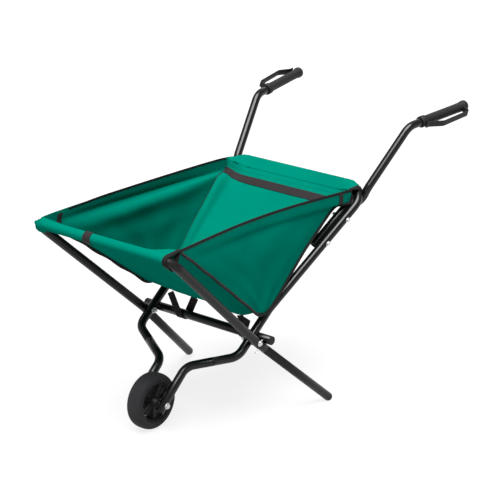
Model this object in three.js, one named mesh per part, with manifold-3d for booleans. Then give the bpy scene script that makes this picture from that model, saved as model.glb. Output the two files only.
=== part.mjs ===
// Folding fabric garden cart: millimetres, +X towards the wheel, +Y to the cart's left, +Z up.
import * as THREE from 'three';
import Module from 'manifold-3d';
import { mergeVertices } from 'three/addons/utils/BufferGeometryUtils.js';

const wasm = await Module();
wasm.setup();

// ---- driving dimensions ----
const GAP = 0.3; // air left between pieces that touch
const RING_SIDES = 12; // flats round a tube in this solid
const ARC_STEP = 0.3; // radians of bend per tube section

const TUBE_RADIUS = 12.5;
const TUBE_WALL = 1.4;
const HANDLE_RADIUS = 12;

const PIVOT_HEIGHT = 244;
const REAR_RISE = 37; // degrees the rear frame climbs backwards
const FRONT_RISE = 42.5; // degrees the front frame climbs forwards

const WHEEL_RADIUS = 80;
const WHEEL_WIDTH = 50;
const TYRE_INNER_RADIUS = 56;
const TYRE_BEVEL = 6;
const TYRE_WALL = 8; // radial height of the bevel beside the rim
const TYRE_SHOULDER = [[9, 1], [3, 5], [0, 12]]; // [below the tread, inset from the side]
const RIM_INNER_RADIUS = 51;
const HUB_RADIUS = 15;
const HUB_WIDTH = 54;
const SPOKES = 5;
const SPOKE = { hubWidth: 11, rimWidth: 23, depth: 30, root: 3 };
const SPOKE_TURN = 38; // degrees from upright to the first spoke
const WHEEL_SIDES = 40;
const HUB_SIDES = 20;
const AXLE_FORWARD = 202;
const AXLE_RADIUS = 5;
const AXLE_CLEARANCE = 0.6;
const AXLE_HEAD_RADIUS = 8;
const AXLE_NUT_HEIGHT = 8;
const AXLE_TIP = 12;
const SPACER_RADIUS = 9;
const HUB_PLAY = 0.6;

const REAR_HALF_LOW = 183; // side tubes at the pivots
const REAR_HALF_RIM = 252; // side tubes at the rear rim corners
const REAR_KINK_ALONG = 109;
const REAR_RIM_ALONG = 557;
const REAR_RIM_BEND = 55;
const FORK_BEND_ALONG = -58;
const FORK_LOW_ALONG = -135;
const FORK_HALF = 46;
const FORK_BEND = 40;
const FORK_JOINT = 0.45; // share of the sloping run that belongs to the frame tube
const FORK_OVERHANG = 25; // tube left below the axle
const SPIGOT_LENGTH = 50;
const LEG_SPIGOT_TOP = 10;

const LEG_HALF_PIVOT = 210;
const FRONT_HALF_RIM = 244;
const FRONT_RIM_ALONG = 517;
const FRONT_RIM_BEND = 45;
const LEG_JOINT_ALONG = -38;
const FOOT_BACK = 255;
const FOOT_HALF = 265;
const FOOT_CENTRE_HEIGHT = 11; // dome centre; the dome is worn flat on the floor
const FOOT_PLUG_LENGTH = 22;
const FOOT_SIDES = 24;
const FOOT_ARC_STEPS = 6;

const CROSS_HALF = 230;
const CROSS_CAP_THICKNESS = 4;
const CROSS_CAP_PLUG = 12;

const HANDLE_BOLTS_ALONG = [360, 450];
const HANDLE_END_ALONG = 340;
const HANDLE_LEAVES_ALONG = 486; // where the handle starts to dive under the rim bend
const HANDLE_DIVE = [
  { along: 540, half: 224, inside: -37 },
  { along: 567, half: 242, inside: -7 },
];
const HANDLE_BEND = 30;
const HANDLE_TOP = { back: 601, half: 280, height: 739 };
const GRIP_END = { back: 837, half: 309, height: 756 };
const HANDLE_TOP_BEND = 55;
const GRIP_LENGTH = 192;
const GRIP_RADIUS = 15.2;
const GRIP_SWELLS = [[0, 0], [0.02, 1.6], [0.1, 1.6], [0.12, 0], [0.92, 0], [0.94, 0.9], [1, 0.4]];
const GRIP_END_WALL = 6;
const GRIP_SIDES = 16;
const GUARD_TURN = 20; // degrees both guards are turned round their grips, the same way
const GUARD_THICKNESS = 4;
const GUARD_HEIGHT = 19;
const GUARD_FOOT = 2.1; // clearance of the guard's squared end over the grip
const GUARD_FLUSH = 4.2; // how far over the grip its other end lies
// The line of a guard, from its squared end: distances along the grip and out from the grip's axis.
const GUARD_LINE = [
  { run: 15, reach: 33 },
  { run: 128, reach: 37 },
  { run: 172, reach: GRIP_RADIUS + GUARD_FLUSH },
  { run: 184, reach: GRIP_RADIUS + GUARD_FLUSH },
];
const GUARD_BENDS = [8, 8, 24, 20];

const BOLT_RADIUS = 3;
const BOLT_HEAD_RADIUS = 6;
const BOLT_HEAD_HEIGHT = 4;
const BOLT_TIP = 4; // thread left beyond a nut
const NUT_HEIGHT = 5;
const DRILL_REACH = 20;
const PIVOT_BOLT_RADIUS = 4;
const PIVOT_HEAD_RADIUS = 7.5;
const PIVOT_NUT_HEIGHT = 6.5;
const PIVOT_TIP = 5.5;
const PIVOT_SEAT = 1.5; // dished seat between the bolt head and the leg
const PIVOT_WASHER = { radius: 11, thickness: 1.1 };
const LOCK_PIN_RADIUS = 1.8;
const LOCK_PIN_ALONG = -16;
const LOCK_PIN_REACH = { outside: 30, inside: 16 };

const CLOTH = 2; // thickness of a fabric wall in this solid
const WALL_CLEAR = 2; // air between an end wall and the side panels
const SLEEVE_RADIUS = 15;
const REAR_SLEEVE_HALF = 222;
const FRONT_SLEEVE_HALF = 236;
const SLEEVE_LOWEST = 540;
const BAG_HALF_LOW = 195;
const BAG_HALF_TOP = 226;
const STRAP = 1.6;
const STRAP_WIDTH = 25;
const STRAP_ARC_STEPS = 10;
const BOTTOM_STRAPS_AT = { left: 150, right: -115 };
const RIM_STRAP_AT = -42;
const BAND_WIDTH = 26;
const BAND_HALF = 211;
const BAND_INSIDE = 21;
const BAND_LEAN = 1; // the band follows the slope of the back wall

// Bag outline seen from the side, as [along frame, inside the frame plane].
const FRONT_WALL_TOP = [497, 18];
const FRONT_WALL_SPLIT = [259, 42];
const TROUGH_FRONT = [244, 43.5];
const TROUGH_REAR = [244, 24.5];
const BACK_WALL_LOW = [247, 24.5];
const BACK_WALL_TOP = [522, 17.5];
const BACK_BAND_AT = 486;
const BAG_BOTTOM = new THREE.Vector3(-36, 0, 58);
const SIDE_TOP_FRONT = [478, 47];
const SIDE_TOP_REAR = [512, 34];
const SIDE_ABOVE_TROUGH = 6;
const SIDE_REAR_LIFT = 3;

// ---- materials ----
const finish = (color, roughness, metalness) =>
  new THREE.MeshStandardMaterial({ color, roughness, metalness });
const FINISH = {
  glossyTube: () => finish(0x101012, 0.25, 0.4),
  satinTube: () => finish(0x2b2b2d, 0.5, 0.3),
  plastic: () => finish(0x1c1c1e, 0.55, 0),
  rubber: () => finish(0x161617, 0.85, 0),
  zinc: () => finish(0xb9bbbd, 0.35, 0.9),
  fabric: () => finish(0x009480, 0.8, 0),
  webbing: () => finish(0x2d2a2b, 0.85, 0),
};

// ---- frame directions, measured from the pivot axis ----
const radians = THREE.MathUtils.degToRad;
const PIVOT = new THREE.Vector3(0, 0, PIVOT_HEIGHT);
const SIDEWAYS = new THREE.Vector3(0, 1, 0);
const rearUp = new THREE.Vector3(-Math.cos(radians(REAR_RISE)), 0, Math.sin(radians(REAR_RISE)));
const rearIn = new THREE.Vector3(Math.sin(radians(REAR_RISE)), 0, Math.cos(radians(REAR_RISE)));
const frontUp = new THREE.Vector3(Math.cos(radians(FRONT_RISE)), 0, Math.sin(radians(FRONT_RISE)));
const frontIn = new THREE.Vector3(-Math.sin(radians(FRONT_RISE)), 0, Math.cos(radians(FRONT_RISE)));

const onRear = (along, half, inside = 0) =>
  PIVOT.clone().addScaledVector(rearUp, along).addScaledVector(rearIn, inside).setY(half);
const onFront = (along, half, inside = 0) =>
  PIVOT.clone().addScaledVector(frontUp, along).addScaledVector(frontIn, inside).setY(half);

const rearSplay = (REAR_HALF_RIM - REAR_HALF_LOW) / (REAR_RIM_ALONG - REAR_KINK_ALONG);
const rearHalf = (along) => REAR_HALF_LOW + rearSplay * Math.max(0, along - REAR_KINK_ALONG);
const rearOutward = (side) => {
  const tilt = Math.atan(rearSplay);
  const outward = SIDEWAYS.clone().multiplyScalar(side * Math.cos(tilt));
  return outward.addScaledVector(rearUp, -Math.sin(tilt));
};

// ---- tubes ----
// A centre line of straight runs joined by round bends, cut only where the direction changes.
class BentLine extends THREE.Curve {
  constructor(corners, bend) {
    super();
    this.stations = BentLine.layOut(corners, bend);
    this.steps = this.stations.length - 1;
  }

  static layOut(corners, bend) {
    const heading = (i) => corners[i + 1].clone().sub(corners[i]).normalize();
    const stations = [{ point: corners[0], tangent: heading(0) }];
    for (let i = 1; i < corners.length - 1; i += 1) {
      stations.push(...BentLine.turn(corners[i], heading(i - 1), heading(i), bend[i] ?? bend[0]));
    }
    stations.push({ point: corners.at(-1), tangent: heading(corners.length - 2) });
    return stations;
  }

  static turn(corner, before, after, radius) {
    const angle = before.angleTo(after);
    const axis = before.clone().cross(after).normalize();
    const start = corner.clone().addScaledVector(before, -radius * Math.tan(angle / 2));
    const centre = axis.clone().cross(before).multiplyScalar(radius).add(start);
    const pieces = Math.max(1, Math.ceil(angle / ARC_STEP));
    return Array.from({ length: pieces + 1 }, (_, k) => {
      const swing = (angle * k) / pieces;
      const point = start.clone().sub(centre).applyAxisAngle(axis, swing).add(centre);
      return { point, tangent: before.clone().applyAxisAngle(axis, swing) };
    });
  }

  // The stretch of the same line whose stations pass a test.
  only(test) {
    const part = Object.create(BentLine.prototype);
    part.stations = this.stations.filter((station) => test(station.point));
    part.steps = part.stations.length - 1;
    return part;
  }

  getPoint(t) {
    return this.stations[Math.round(t * this.steps)].point.clone();
  }

  getTangentAt(t) {
    return this.stations[Math.round(t * this.steps)].tangent.clone();
  }

  getSpacedPoints() {
    return this.stations.map((station) => station.point.clone());
  }
}

const ringPoints = (radius, sides) =>
  Array.from({ length: sides }, (_, i) => {
    const angle = (2 * Math.PI * (i + 0.5)) / sides;
    return new THREE.Vector2(radius * Math.cos(angle), radius * Math.sin(angle));
  });

function ringShape(outer, inner, sides = RING_SIDES) {
  const shape = new THREE.Shape(ringPoints(outer, sides));
  if (inner > 0) shape.holes.push(new THREE.Path(ringPoints(inner, sides)));
  return shape;
}

const tubeOn = (line, outer, inner) =>
  new THREE.ExtrudeGeometry(ringShape(outer, inner), { steps: line.steps, extrudePath: line });

const straight = (from, to) => new BentLine([from, to], [0]);

const rod = (from, to, radius, bore = 0, sides = RING_SIDES) => {
  const shape = ringShape(radius, bore, sides);
  return new THREE.ExtrudeGeometry(shape, { steps: 1, extrudePath: straight(from, to) });
};

// ---- solid arithmetic ----
function toSolid(geometry) {
  const bare = geometry.index ? geometry.toNonIndexed() : geometry.clone();
  bare.deleteAttribute('normal');
  bare.deleteAttribute('uv');
  const merged = mergeVertices(bare, 1e-3);
  return new wasm.Manifold(new wasm.Mesh({
    numProp: 3,
    vertProperties: merged.attributes.position.array,
    triVerts: new Uint32Array(merged.index.array),
  }));
}

function toGeometry(solid) {
  const mesh = solid.getMesh();
  const geometry = new THREE.BufferGeometry();
  geometry.setAttribute('position', new THREE.BufferAttribute(mesh.vertProperties, 3));
  geometry.setIndex(new THREE.BufferAttribute(mesh.triVerts, 1));
  const flat = geometry.toNonIndexed();
  flat.computeVertexNormals();
  return flat;
}

const cut = (geometry, ...tools) =>
  toGeometry(tools.reduce((left, tool) => left.subtract(toSolid(tool)), toSolid(geometry)));
const join = (...pieces) =>
  toGeometry(pieces.slice(1).reduce((whole, piece) => whole.add(toSolid(piece)), toSolid(pieces[0])));

const moved = (point, direction, distance) => point.clone().addScaledVector(direction, distance);

const drillAt = (point, direction, radius) =>
  rod(moved(point, direction, -DRILL_REACH), moved(point, direction, DRILL_REACH), radius);

// ---- the group ----
const cart = new THREE.Group();
cart.name = 'garden_cart';

function add(name, geometry, material) {
  const mesh = new THREE.Mesh(geometry, material);
  mesh.name = name;
  cart.add(mesh);
  return mesh;
}

const SIDES = [['left', 1], ['right', -1]];

// ---- rear frame: rim, side tubes and the first bends of the fork ----
const forkJoint = (side) =>
  onRear(FORK_BEND_ALONG, side * REAR_HALF_LOW)
    .lerp(onRear(FORK_LOW_ALONG, side * FORK_HALF), FORK_JOINT);

const rearLine = new BentLine(
  [
    forkJoint(1),
    onRear(FORK_BEND_ALONG, REAR_HALF_LOW),
    onRear(REAR_KINK_ALONG, REAR_HALF_LOW),
    onRear(REAR_RIM_ALONG, REAR_HALF_RIM),
    onRear(REAR_RIM_ALONG, -REAR_HALF_RIM),
    onRear(REAR_KINK_ALONG, -REAR_HALF_LOW),
    onRear(FORK_BEND_ALONG, -REAR_HALF_LOW),
    forkJoint(-1),
  ],
  [REAR_RIM_BEND, FORK_BEND, FORK_BEND, REAR_RIM_BEND, REAR_RIM_BEND, FORK_BEND, FORK_BEND],
);

const handleBoltPoint = (side, along) => onRear(along, side * rearHalf(along));

function addRearFrame() {
  const holes = SIDES.flatMap(([, side]) => [
    drillAt(PIVOT.clone().setY(side * REAR_HALF_LOW), SIDEWAYS, PIVOT_BOLT_RADIUS + GAP),
    ...HANDLE_BOLTS_ALONG.map((along) =>
      drillAt(handleBoltPoint(side, along), rearOutward(side), BOLT_RADIUS + GAP)),
  ]);
  const tube = tubeOn(rearLine, TUBE_RADIUS, TUBE_RADIUS - TUBE_WALL);
  add('rear_frame_tube', cut(tube, ...holes), FINISH.glossyTube());
}

const axlePoint = (half) => new THREE.Vector3(AXLE_FORWARD, half, WHEEL_RADIUS);

function addForks() {
  for (const [label, side] of SIDES) {
    const start = forkJoint(side);
    const low = onRear(FORK_LOW_ALONG, side * FORK_HALF);
    const axle = axlePoint(side * FORK_HALF);
    const down = axle.clone().sub(low).normalize();
    const end = axle.clone().addScaledVector(down, FORK_OVERHANG);
    const slope = low.clone().sub(start).normalize();
    const line = new BentLine([start.clone().addScaledVector(slope, GAP), low, end], [FORK_BEND]);
    const tube = tubeOn(line, TUBE_RADIUS, TUBE_RADIUS - TUBE_WALL);
    const hole = drillAt(axle, SIDEWAYS, AXLE_RADIUS + GAP);
    add(`fork_tube_${label}`, cut(tube, hole), FINISH.glossyTube());
    const half = SPIGOT_LENGTH / 2;
    const spigot = rod(
      start.clone().addScaledVector(slope, -half / 2),
      start.clone().addScaledVector(slope, half / 2),
      TUBE_RADIUS - TUBE_WALL - 2 * GAP,
      TUBE_RADIUS - 3 * TUBE_WALL,
    );
    add(`fork_spigot_${label}`, spigot, FINISH.zinc());
  }
}

// ---- cross tube: it ties the side tubes and stops the legs ----
function crossCentre() {
  const halfWedge = radians((REAR_RISE + FRONT_RISE) / 2);
  const reach = (2 * TUBE_RADIUS + GAP) / Math.sin(halfWedge);
  const dip = radians((FRONT_RISE - REAR_RISE) / 2);
  return PIVOT.clone().add(new THREE.Vector3(-reach * Math.cos(dip), 0, -reach * Math.sin(dip)));
}

const CROSS_CENTRE = crossCentre();

function addCrossTube() {
  const end = (half) => CROSS_CENTRE.clone().setY(half);
  const tube = rod(end(-CROSS_HALF), end(CROSS_HALF), TUBE_RADIUS, TUBE_RADIUS - TUBE_WALL);
  add('cross_tube', tube, FINISH.glossyTube());
  for (const [label, side] of SIDES) {
    const face = side * (CROSS_HALF + GAP);
    const cap = join(
      rod(end(face), end(face + side * CROSS_CAP_THICKNESS), TUBE_RADIUS),
      rod(end(face - side * CROSS_CAP_PLUG), end(face + side), TUBE_RADIUS - TUBE_WALL - 2 * GAP),
    );
    add(`cross_cap_${label}`, cap, FINISH.plastic());
  }
}

// ---- handles ----
const HANDLE_OFFSET = (TUBE_RADIUS + HANDLE_RADIUS + 2 * GAP) / Math.cos(Math.atan(rearSplay));
const besideRear = (side, along) => onRear(along, side * (rearHalf(along) - HANDLE_OFFSET));
const behindPivot = ({ back, half, height }, side) => new THREE.Vector3(-back, side * half, height);

// The handle leaves the side tube, dives under the rim bend and climbs out behind the corner.
const handleCorners = (side) => [
  besideRear(side, HANDLE_END_ALONG),
  besideRear(side, HANDLE_LEAVES_ALONG),
  ...HANDLE_DIVE.map(({ along, half, inside }) => onRear(along, side * half, inside)),
  behindPivot(HANDLE_TOP, side),
  behindPivot(GRIP_END, side),
];

function addHandles() {
  for (const [label, side] of SIDES) {
    const corners = handleCorners(side);
    const bends = corners.slice(1).map((_, i) => (i < corners.length - 2 ? HANDLE_BEND : HANDLE_TOP_BEND));
    const tube = tubeOn(new BentLine(corners, bends), HANDLE_RADIUS, HANDLE_RADIUS - TUBE_WALL);
    const inward = rearOutward(side).multiplyScalar(-1);
    const holes = HANDLE_BOLTS_ALONG.map((along) => {
      const point = handleBoltPoint(side, along).addScaledVector(inward, 2 * TUBE_RADIUS);
      return drillAt(point, inward, BOLT_RADIUS + GAP);
    });
    add(`handle_tube_${label}`, cut(tube, ...holes), FINISH.glossyTube());
    addHandleBolts(label, side);
    addGrip(label, side, corners.at(-2), corners.at(-1));
  }
}

// A hexagon-headed bolt from a bearing face, running along a direction.
function boltGeometry(face, direction, shank, length, head) {
  const back = face.clone().addScaledVector(direction, -BOLT_HEAD_HEIGHT);
  const tip = face.clone().addScaledVector(direction, length);
  return join(rod(back, face, head, 0, 6), rod(back, tip, shank));
}

function nutGeometry(face, direction, bore, across, height = NUT_HEIGHT) {
  const hexBore = bore / Math.cos(Math.PI / 6);
  return rod(face, face.clone().addScaledVector(direction, height), across, hexBore, 6);
}

function addHandleBolts(label, side) {
  const inward = rearOutward(side).multiplyScalar(-1);
  const stack = 2 * TUBE_RADIUS + 2 * HANDLE_RADIUS + 3 * GAP;
  HANDLE_BOLTS_ALONG.forEach((along, i) => {
    const face = handleBoltPoint(side, along).addScaledVector(inward, -TUBE_RADIUS - GAP);
    const bolt = boltGeometry(face, inward, BOLT_RADIUS, stack + NUT_HEIGHT + BOLT_TIP, BOLT_HEAD_RADIUS);
    add(`handle_bolt_${label}_${i + 1}`, bolt, FINISH.zinc());
    const seat = face.clone().addScaledVector(inward, stack + GAP);
    add(`handle_nut_${label}_${i + 1}`, nutGeometry(seat, inward, BOLT_RADIUS + GAP, BOLT_HEAD_RADIUS),
      FINISH.zinc());
  });
}

// A grip is a ribbed sleeve on the tube, closed at its end, with a hand guard on the outboard side.
// Both guards are the same strip, turned end for end: square to the grip at the back end of the left
// one and at the front end of the right one.
function addGrip(label, side, bend, end) {
  const along = end.clone().sub(bend).normalize();
  const start = end.clone().addScaledVector(along, -GRIP_LENGTH);
  const length = GRIP_LENGTH + GRIP_END_WALL;
  const sleeve = GRIP_SWELLS.map(([share, swell]) =>
    new THREE.Vector2(GRIP_RADIUS + swell, share * (length - 1)));
  const bore = HANDLE_RADIUS + GAP;
  const bottom = GRIP_LENGTH + GAP;
  const profile = [
    new THREE.Vector2(bore, 0), ...sleeve,
    new THREE.Vector2(0, length), new THREE.Vector2(0, bottom), new THREE.Vector2(bore, bottom),
    new THREE.Vector2(bore, 0),
  ];
  const grip = new THREE.LatheGeometry(profile, GRIP_SIDES);
  const mesh = add(`grip_${label}`, grip, FINISH.plastic());
  mesh.position.copy(start);
  mesh.quaternion.setFromUnitVectors(new THREE.Vector3(0, 1, 0), along);
  addGuard(label, side, start, along);
}

function addGuard(label, side, start, along) {
  const level = along.clone().cross(new THREE.Vector3(0, 0, 1)).normalize();
  const outward = level.multiplyScalar(Math.sign(level.y) * side);
  const from = (run) => (side > 0 ? GRIP_LENGTH - run : run);
  const at = (run, reach) => start.clone().addScaledVector(along, from(run)).addScaledVector(outward, reach);
  const line = new BentLine(
    [
      at(GUARD_LINE[0].run, GRIP_RADIUS + GUARD_FOOT),
      ...GUARD_LINE.map(({ run, reach }) => at(run, reach)),
    ],
    GUARD_BENDS,
  );
  const [tall, thin] = [GUARD_HEIGHT / 2, GUARD_THICKNESS / 2];
  const strip = new THREE.Shape([
    new THREE.Vector2(-tall, -thin),
    new THREE.Vector2(tall, -thin),
    new THREE.Vector2(tall, thin),
    new THREE.Vector2(-tall, thin),
  ]);
  const guard = new THREE.ExtrudeGeometry(strip, { steps: line.steps, extrudePath: line });
  const turn = new THREE.Quaternion().setFromAxisAngle(along, radians(GUARD_TURN));
  guard.translate(-start.x, -start.y, -start.z).applyQuaternion(turn).translate(start.x, start.y, start.z);
  add(`hand_guard_${label}`, guard, FINISH.plastic());
}

// ---- front frame: rim, legs and feet ----
const footPoint = (side) => new THREE.Vector3(-FOOT_BACK, side * FOOT_HALF, FOOT_CENTRE_HEIGHT);
const pivotPoint = (half) => PIVOT.clone().setY(half);

const legJoint = (side) => {
  const down = footPoint(side).sub(pivotPoint(side * LEG_HALF_PIVOT)).normalize();
  return pivotPoint(side * LEG_HALF_PIVOT).addScaledVector(down, -LEG_JOINT_ALONG);
};

const frontLine = new BentLine(
  [
    legJoint(1),
    pivotPoint(LEG_HALF_PIVOT),
    onFront(FRONT_RIM_ALONG, FRONT_HALF_RIM),
    onFront(FRONT_RIM_ALONG, -FRONT_HALF_RIM),
    pivotPoint(-LEG_HALF_PIVOT),
    legJoint(-1),
  ],
  [FRONT_RIM_BEND],
);

function addFrontFrame() {
  const tube = tubeOn(frontLine, TUBE_RADIUS, TUBE_RADIUS - TUBE_WALL);
  const holes = SIDES.flatMap(([, side]) => [
    drillAt(pivotPoint(side * LEG_HALF_PIVOT), SIDEWAYS, PIVOT_BOLT_RADIUS + GAP),
    drillAt(lockPinPoint(side), frontIn, LOCK_PIN_RADIUS + GAP),
  ]);
  add('front_frame_tube', cut(tube, ...holes), FINISH.satinTube());
}

function addLegs() {
  for (const [label, side] of SIDES) {
    const start = legJoint(side);
    const end = footPoint(side);
    const down = end.clone().sub(start).normalize();
    const tube = rod(start.clone().addScaledVector(down, GAP), end, TUBE_RADIUS, TUBE_RADIUS - TUBE_WALL);
    add(`leg_${label}`, tube, FINISH.satinTube());
    const spigot = rod(
      moved(start, down, -LEG_SPIGOT_TOP),
      moved(start, down, SPIGOT_LENGTH),
      TUBE_RADIUS - TUBE_WALL - 2 * GAP,
      TUBE_RADIUS - 3 * TUBE_WALL,
    );
    add(`leg_spigot_${label}`, spigot, FINISH.zinc());
    addFoot(label, end, down);
  }
}

// A foot plug has a dome with a flat worn on its floor side.
function addFoot(label, end, down) {
  const plug = TUBE_RADIUS - TUBE_WALL - 3 * GAP;
  const arc = Array.from({ length: FOOT_ARC_STEPS }, (_, i) => {
    const angle = (Math.PI / 2) * (i / FOOT_ARC_STEPS);
    return new THREE.Vector2(TUBE_RADIUS * Math.cos(angle), TUBE_RADIUS * Math.sin(angle));
  });
  const profile = [
    new THREE.Vector2(0, -FOOT_PLUG_LENGTH), new THREE.Vector2(plug, -FOOT_PLUG_LENGTH),
    new THREE.Vector2(plug, 0.001), ...arc, new THREE.Vector2(0, TUBE_RADIUS),
  ];
  const dome = new THREE.LatheGeometry(profile, FOOT_SIDES);
  dome.applyQuaternion(new THREE.Quaternion().setFromUnitVectors(new THREE.Vector3(0, 1, 0), down));
  dome.translate(...end.clone().addScaledVector(down, GAP).toArray());
  const slab = 4 * TUBE_RADIUS;
  const floor = new THREE.BoxGeometry(slab, slab, slab).translate(end.x, end.y, -slab / 2);
  add(`foot_${label}`, cut(dome, floor), FINISH.plastic());
}

// ---- pivots ----
const lockPinPoint = (side) => {
  const down = footPoint(side).sub(pivotPoint(side * LEG_HALF_PIVOT)).normalize();
  return pivotPoint(side * LEG_HALF_PIVOT).addScaledVector(down, -LOCK_PIN_ALONG);
};

function addPivots() {
  for (const [label, side] of SIDES) {
    const outer = LEG_HALF_PIVOT + TUBE_RADIUS + PIVOT_SEAT;
    const inward = SIDEWAYS.clone().multiplyScalar(-side);
    const stack = outer - (REAR_HALF_LOW - TUBE_RADIUS);
    const face = pivotPoint(side * outer);
    const length = stack + PIVOT_NUT_HEIGHT + PIVOT_TIP;
    const bolt = boltGeometry(face, inward, PIVOT_BOLT_RADIUS, length, PIVOT_HEAD_RADIUS);
    add(`pivot_bolt_${label}`, bolt, FINISH.zinc());
    const seat = face.clone().addScaledVector(inward, stack + GAP);
    const bore = PIVOT_BOLT_RADIUS + GAP;
    const nut = nutGeometry(seat, inward, bore, PIVOT_HEAD_RADIUS, PIVOT_NUT_HEIGHT);
    add(`pivot_nut_${label}`, nut, FINISH.zinc());
    const gapMiddle = (LEG_HALF_PIVOT + REAR_HALF_LOW) / 2;
    const face1 = pivotPoint(side * (gapMiddle - PIVOT_WASHER.thickness / 2));
    const face2 = pivotPoint(side * (gapMiddle + PIVOT_WASHER.thickness / 2));
    add(`pivot_washer_${label}`, rod(face1, face2, PIVOT_WASHER.radius, bore), FINISH.plastic());
    addLockPin(label, side);
  }
}

function addLockPin(label, side) {
  const middle = lockPinPoint(side);
  const low = moved(middle, frontIn, -LOCK_PIN_REACH.outside);
  const high = moved(middle, frontIn, LOCK_PIN_REACH.inside);
  add(`lock_pin_${label}`, rod(low, high, LOCK_PIN_RADIUS, 0, 8), FINISH.zinc());
}

// ---- wheel ----
function tyreGeometry() {
  const half = WHEEL_WIDTH / 2;
  const profile = [
    [TYRE_INNER_RADIUS, TYRE_BEVEL], [TYRE_INNER_RADIUS + TYRE_WALL, 0],
    ...TYRE_SHOULDER.map(([fromTread, inset]) => [WHEEL_RADIUS - fromTread, inset]),
  ];
  const outline = [
    ...profile.map(([radius, inset]) => new THREE.Vector2(radius, inset - half)),
    ...profile.toReversed().map(([radius, inset]) => new THREE.Vector2(radius, half - inset)),
    new THREE.Vector2(TYRE_INNER_RADIUS, TYRE_BEVEL - half),
  ];
  return new THREE.LatheGeometry(outline, WHEEL_SIDES);
}

function wheelCentreGeometry() {
  const disc = (half, outer, inner, sides) =>
    rod(SIDEWAYS.clone().multiplyScalar(-half), SIDEWAYS.clone().multiplyScalar(half), outer, inner, sides);
  const rim = disc(WHEEL_WIDTH / 2 - TYRE_BEVEL, TYRE_INNER_RADIUS - GAP, RIM_INNER_RADIUS, WHEEL_SIDES);
  const hub = disc(HUB_WIDTH / 2, HUB_RADIUS, 0, HUB_SIDES);
  const spokes = Array.from({ length: SPOKES }, (_, i) => {
    const reach = RIM_INNER_RADIUS + SPOKE.root;
    const wedge = new THREE.Shape([
      new THREE.Vector2(-SPOKE.hubWidth / 2, 0),
      new THREE.Vector2(SPOKE.hubWidth / 2, 0),
      new THREE.Vector2(SPOKE.rimWidth / 2, reach),
      new THREE.Vector2(-SPOKE.rimWidth / 2, reach),
    ]);
    const spoke = new THREE.ExtrudeGeometry(wedge, { depth: SPOKE.depth, bevelEnabled: false });
    spoke.rotateX(Math.PI / 2).translate(0, SPOKE.depth / 2, 0);
    return spoke.rotateY(radians(SPOKE_TURN) + (2 * Math.PI * i) / SPOKES);
  });
  return cut(join(rim, hub, ...spokes), disc(HUB_WIDTH, AXLE_RADIUS + AXLE_CLEARANCE, 0, HUB_SIDES));
}

function addWheel() {
  const centre = axlePoint(0);
  add('tyre', tyreGeometry(), FINISH.rubber()).position.copy(centre);
  add('wheel_centre', wheelCentreGeometry(), FINISH.plastic()).position.copy(centre);
  const outer = FORK_HALF + TUBE_RADIUS + GAP;
  const face = axlePoint(outer);
  const inward = new THREE.Vector3(0, -1, 0);
  const bolt = boltGeometry(face, inward, AXLE_RADIUS, 2 * outer + AXLE_TIP, AXLE_HEAD_RADIUS);
  add('axle_bolt', bolt, FINISH.zinc());
  const bore = AXLE_RADIUS + GAP;
  const nut = nutGeometry(axlePoint(-outer - GAP), inward, bore, AXLE_HEAD_RADIUS, AXLE_NUT_HEIGHT);
  add('axle_nut', nut, FINISH.zinc());
  for (const [label, side] of SIDES) {
    const from = axlePoint(side * (HUB_WIDTH / 2 + HUB_PLAY));
    const to = axlePoint(side * (FORK_HALF - TUBE_RADIUS - GAP));
    add(`axle_spacer_${label}`, rod(from, to, SPACER_RADIUS, bore), FINISH.plastic());
  }
}

// ---- bag ----
// A flat wall with its outer face on four corners, in either order, thickened along a direction.
function wall(corners, thicken) {
  const [a, b, c] = corners;
  const facing = b.clone().sub(a).cross(c.clone().sub(a)).dot(thicken);
  const near = facing > 0 ? corners : [...corners].reverse();
  const points = [...near, ...near.map((corner) => corner.clone().add(thicken))];
  const faces = [
    [0, 3, 2], [0, 2, 1], [4, 5, 6], [4, 6, 7],
    [0, 1, 5], [0, 5, 4], [1, 2, 6], [1, 6, 5], [2, 3, 7], [2, 7, 6], [3, 0, 4], [3, 4, 7],
  ];
  const geometry = new THREE.BufferGeometry().setFromPoints(faces.flat().map((i) => points[i]));
  geometry.computeVertexNormals();
  return geometry;
}

const widthAt = (height) => {
  const low = PIVOT_HEIGHT + BAG_BOTTOM.z;
  const top = onFront(SIDE_TOP_FRONT[0], 0, SIDE_TOP_FRONT[1]).z;
  return THREE.MathUtils.mapLinear(height, low, top, BAG_HALF_LOW, BAG_HALF_TOP);
};

function addWalls() {
  const between = (point, side) => point.setY(side * (widthAt(point.z) - CLOTH - WALL_CLEAR));
  const frontCorner = ([along, inside], side) => between(onFront(along, 0, inside), side);
  const rearCorner = ([along, inside], side) => between(onRear(along, 0, inside), side);
  const front = wall(
    [frontCorner(FRONT_WALL_SPLIT, 1), frontCorner(FRONT_WALL_TOP, 1),
      frontCorner(FRONT_WALL_TOP, -1), frontCorner(FRONT_WALL_SPLIT, -1)],
    frontIn.clone().multiplyScalar(CLOTH),
  );
  add('bag_front', front, FINISH.fabric());
  const back = wall(
    [rearCorner(BACK_WALL_LOW, -1), rearCorner(BACK_WALL_TOP, -1),
      rearCorner(BACK_WALL_TOP, 1), rearCorner(BACK_WALL_LOW, 1)],
    rearIn.clone().multiplyScalar(CLOTH),
  );
  add('bag_back', back, FINISH.fabric());
  addBackBand();
}

function addBackBand() {
  const low = (half) => onRear(BACK_BAND_AT - BAND_WIDTH / 2, half, BAND_INSIDE + BAND_LEAN);
  const high = (half) => onRear(BACK_BAND_AT + BAND_WIDTH / 2, half, BAND_INSIDE);
  const corners = [low(-BAND_HALF), high(-BAND_HALF), high(BAND_HALF), low(BAND_HALF)];
  add('back_band', wall(corners, rearIn.clone().multiplyScalar(STRAP)), FINISH.webbing());
}

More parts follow.
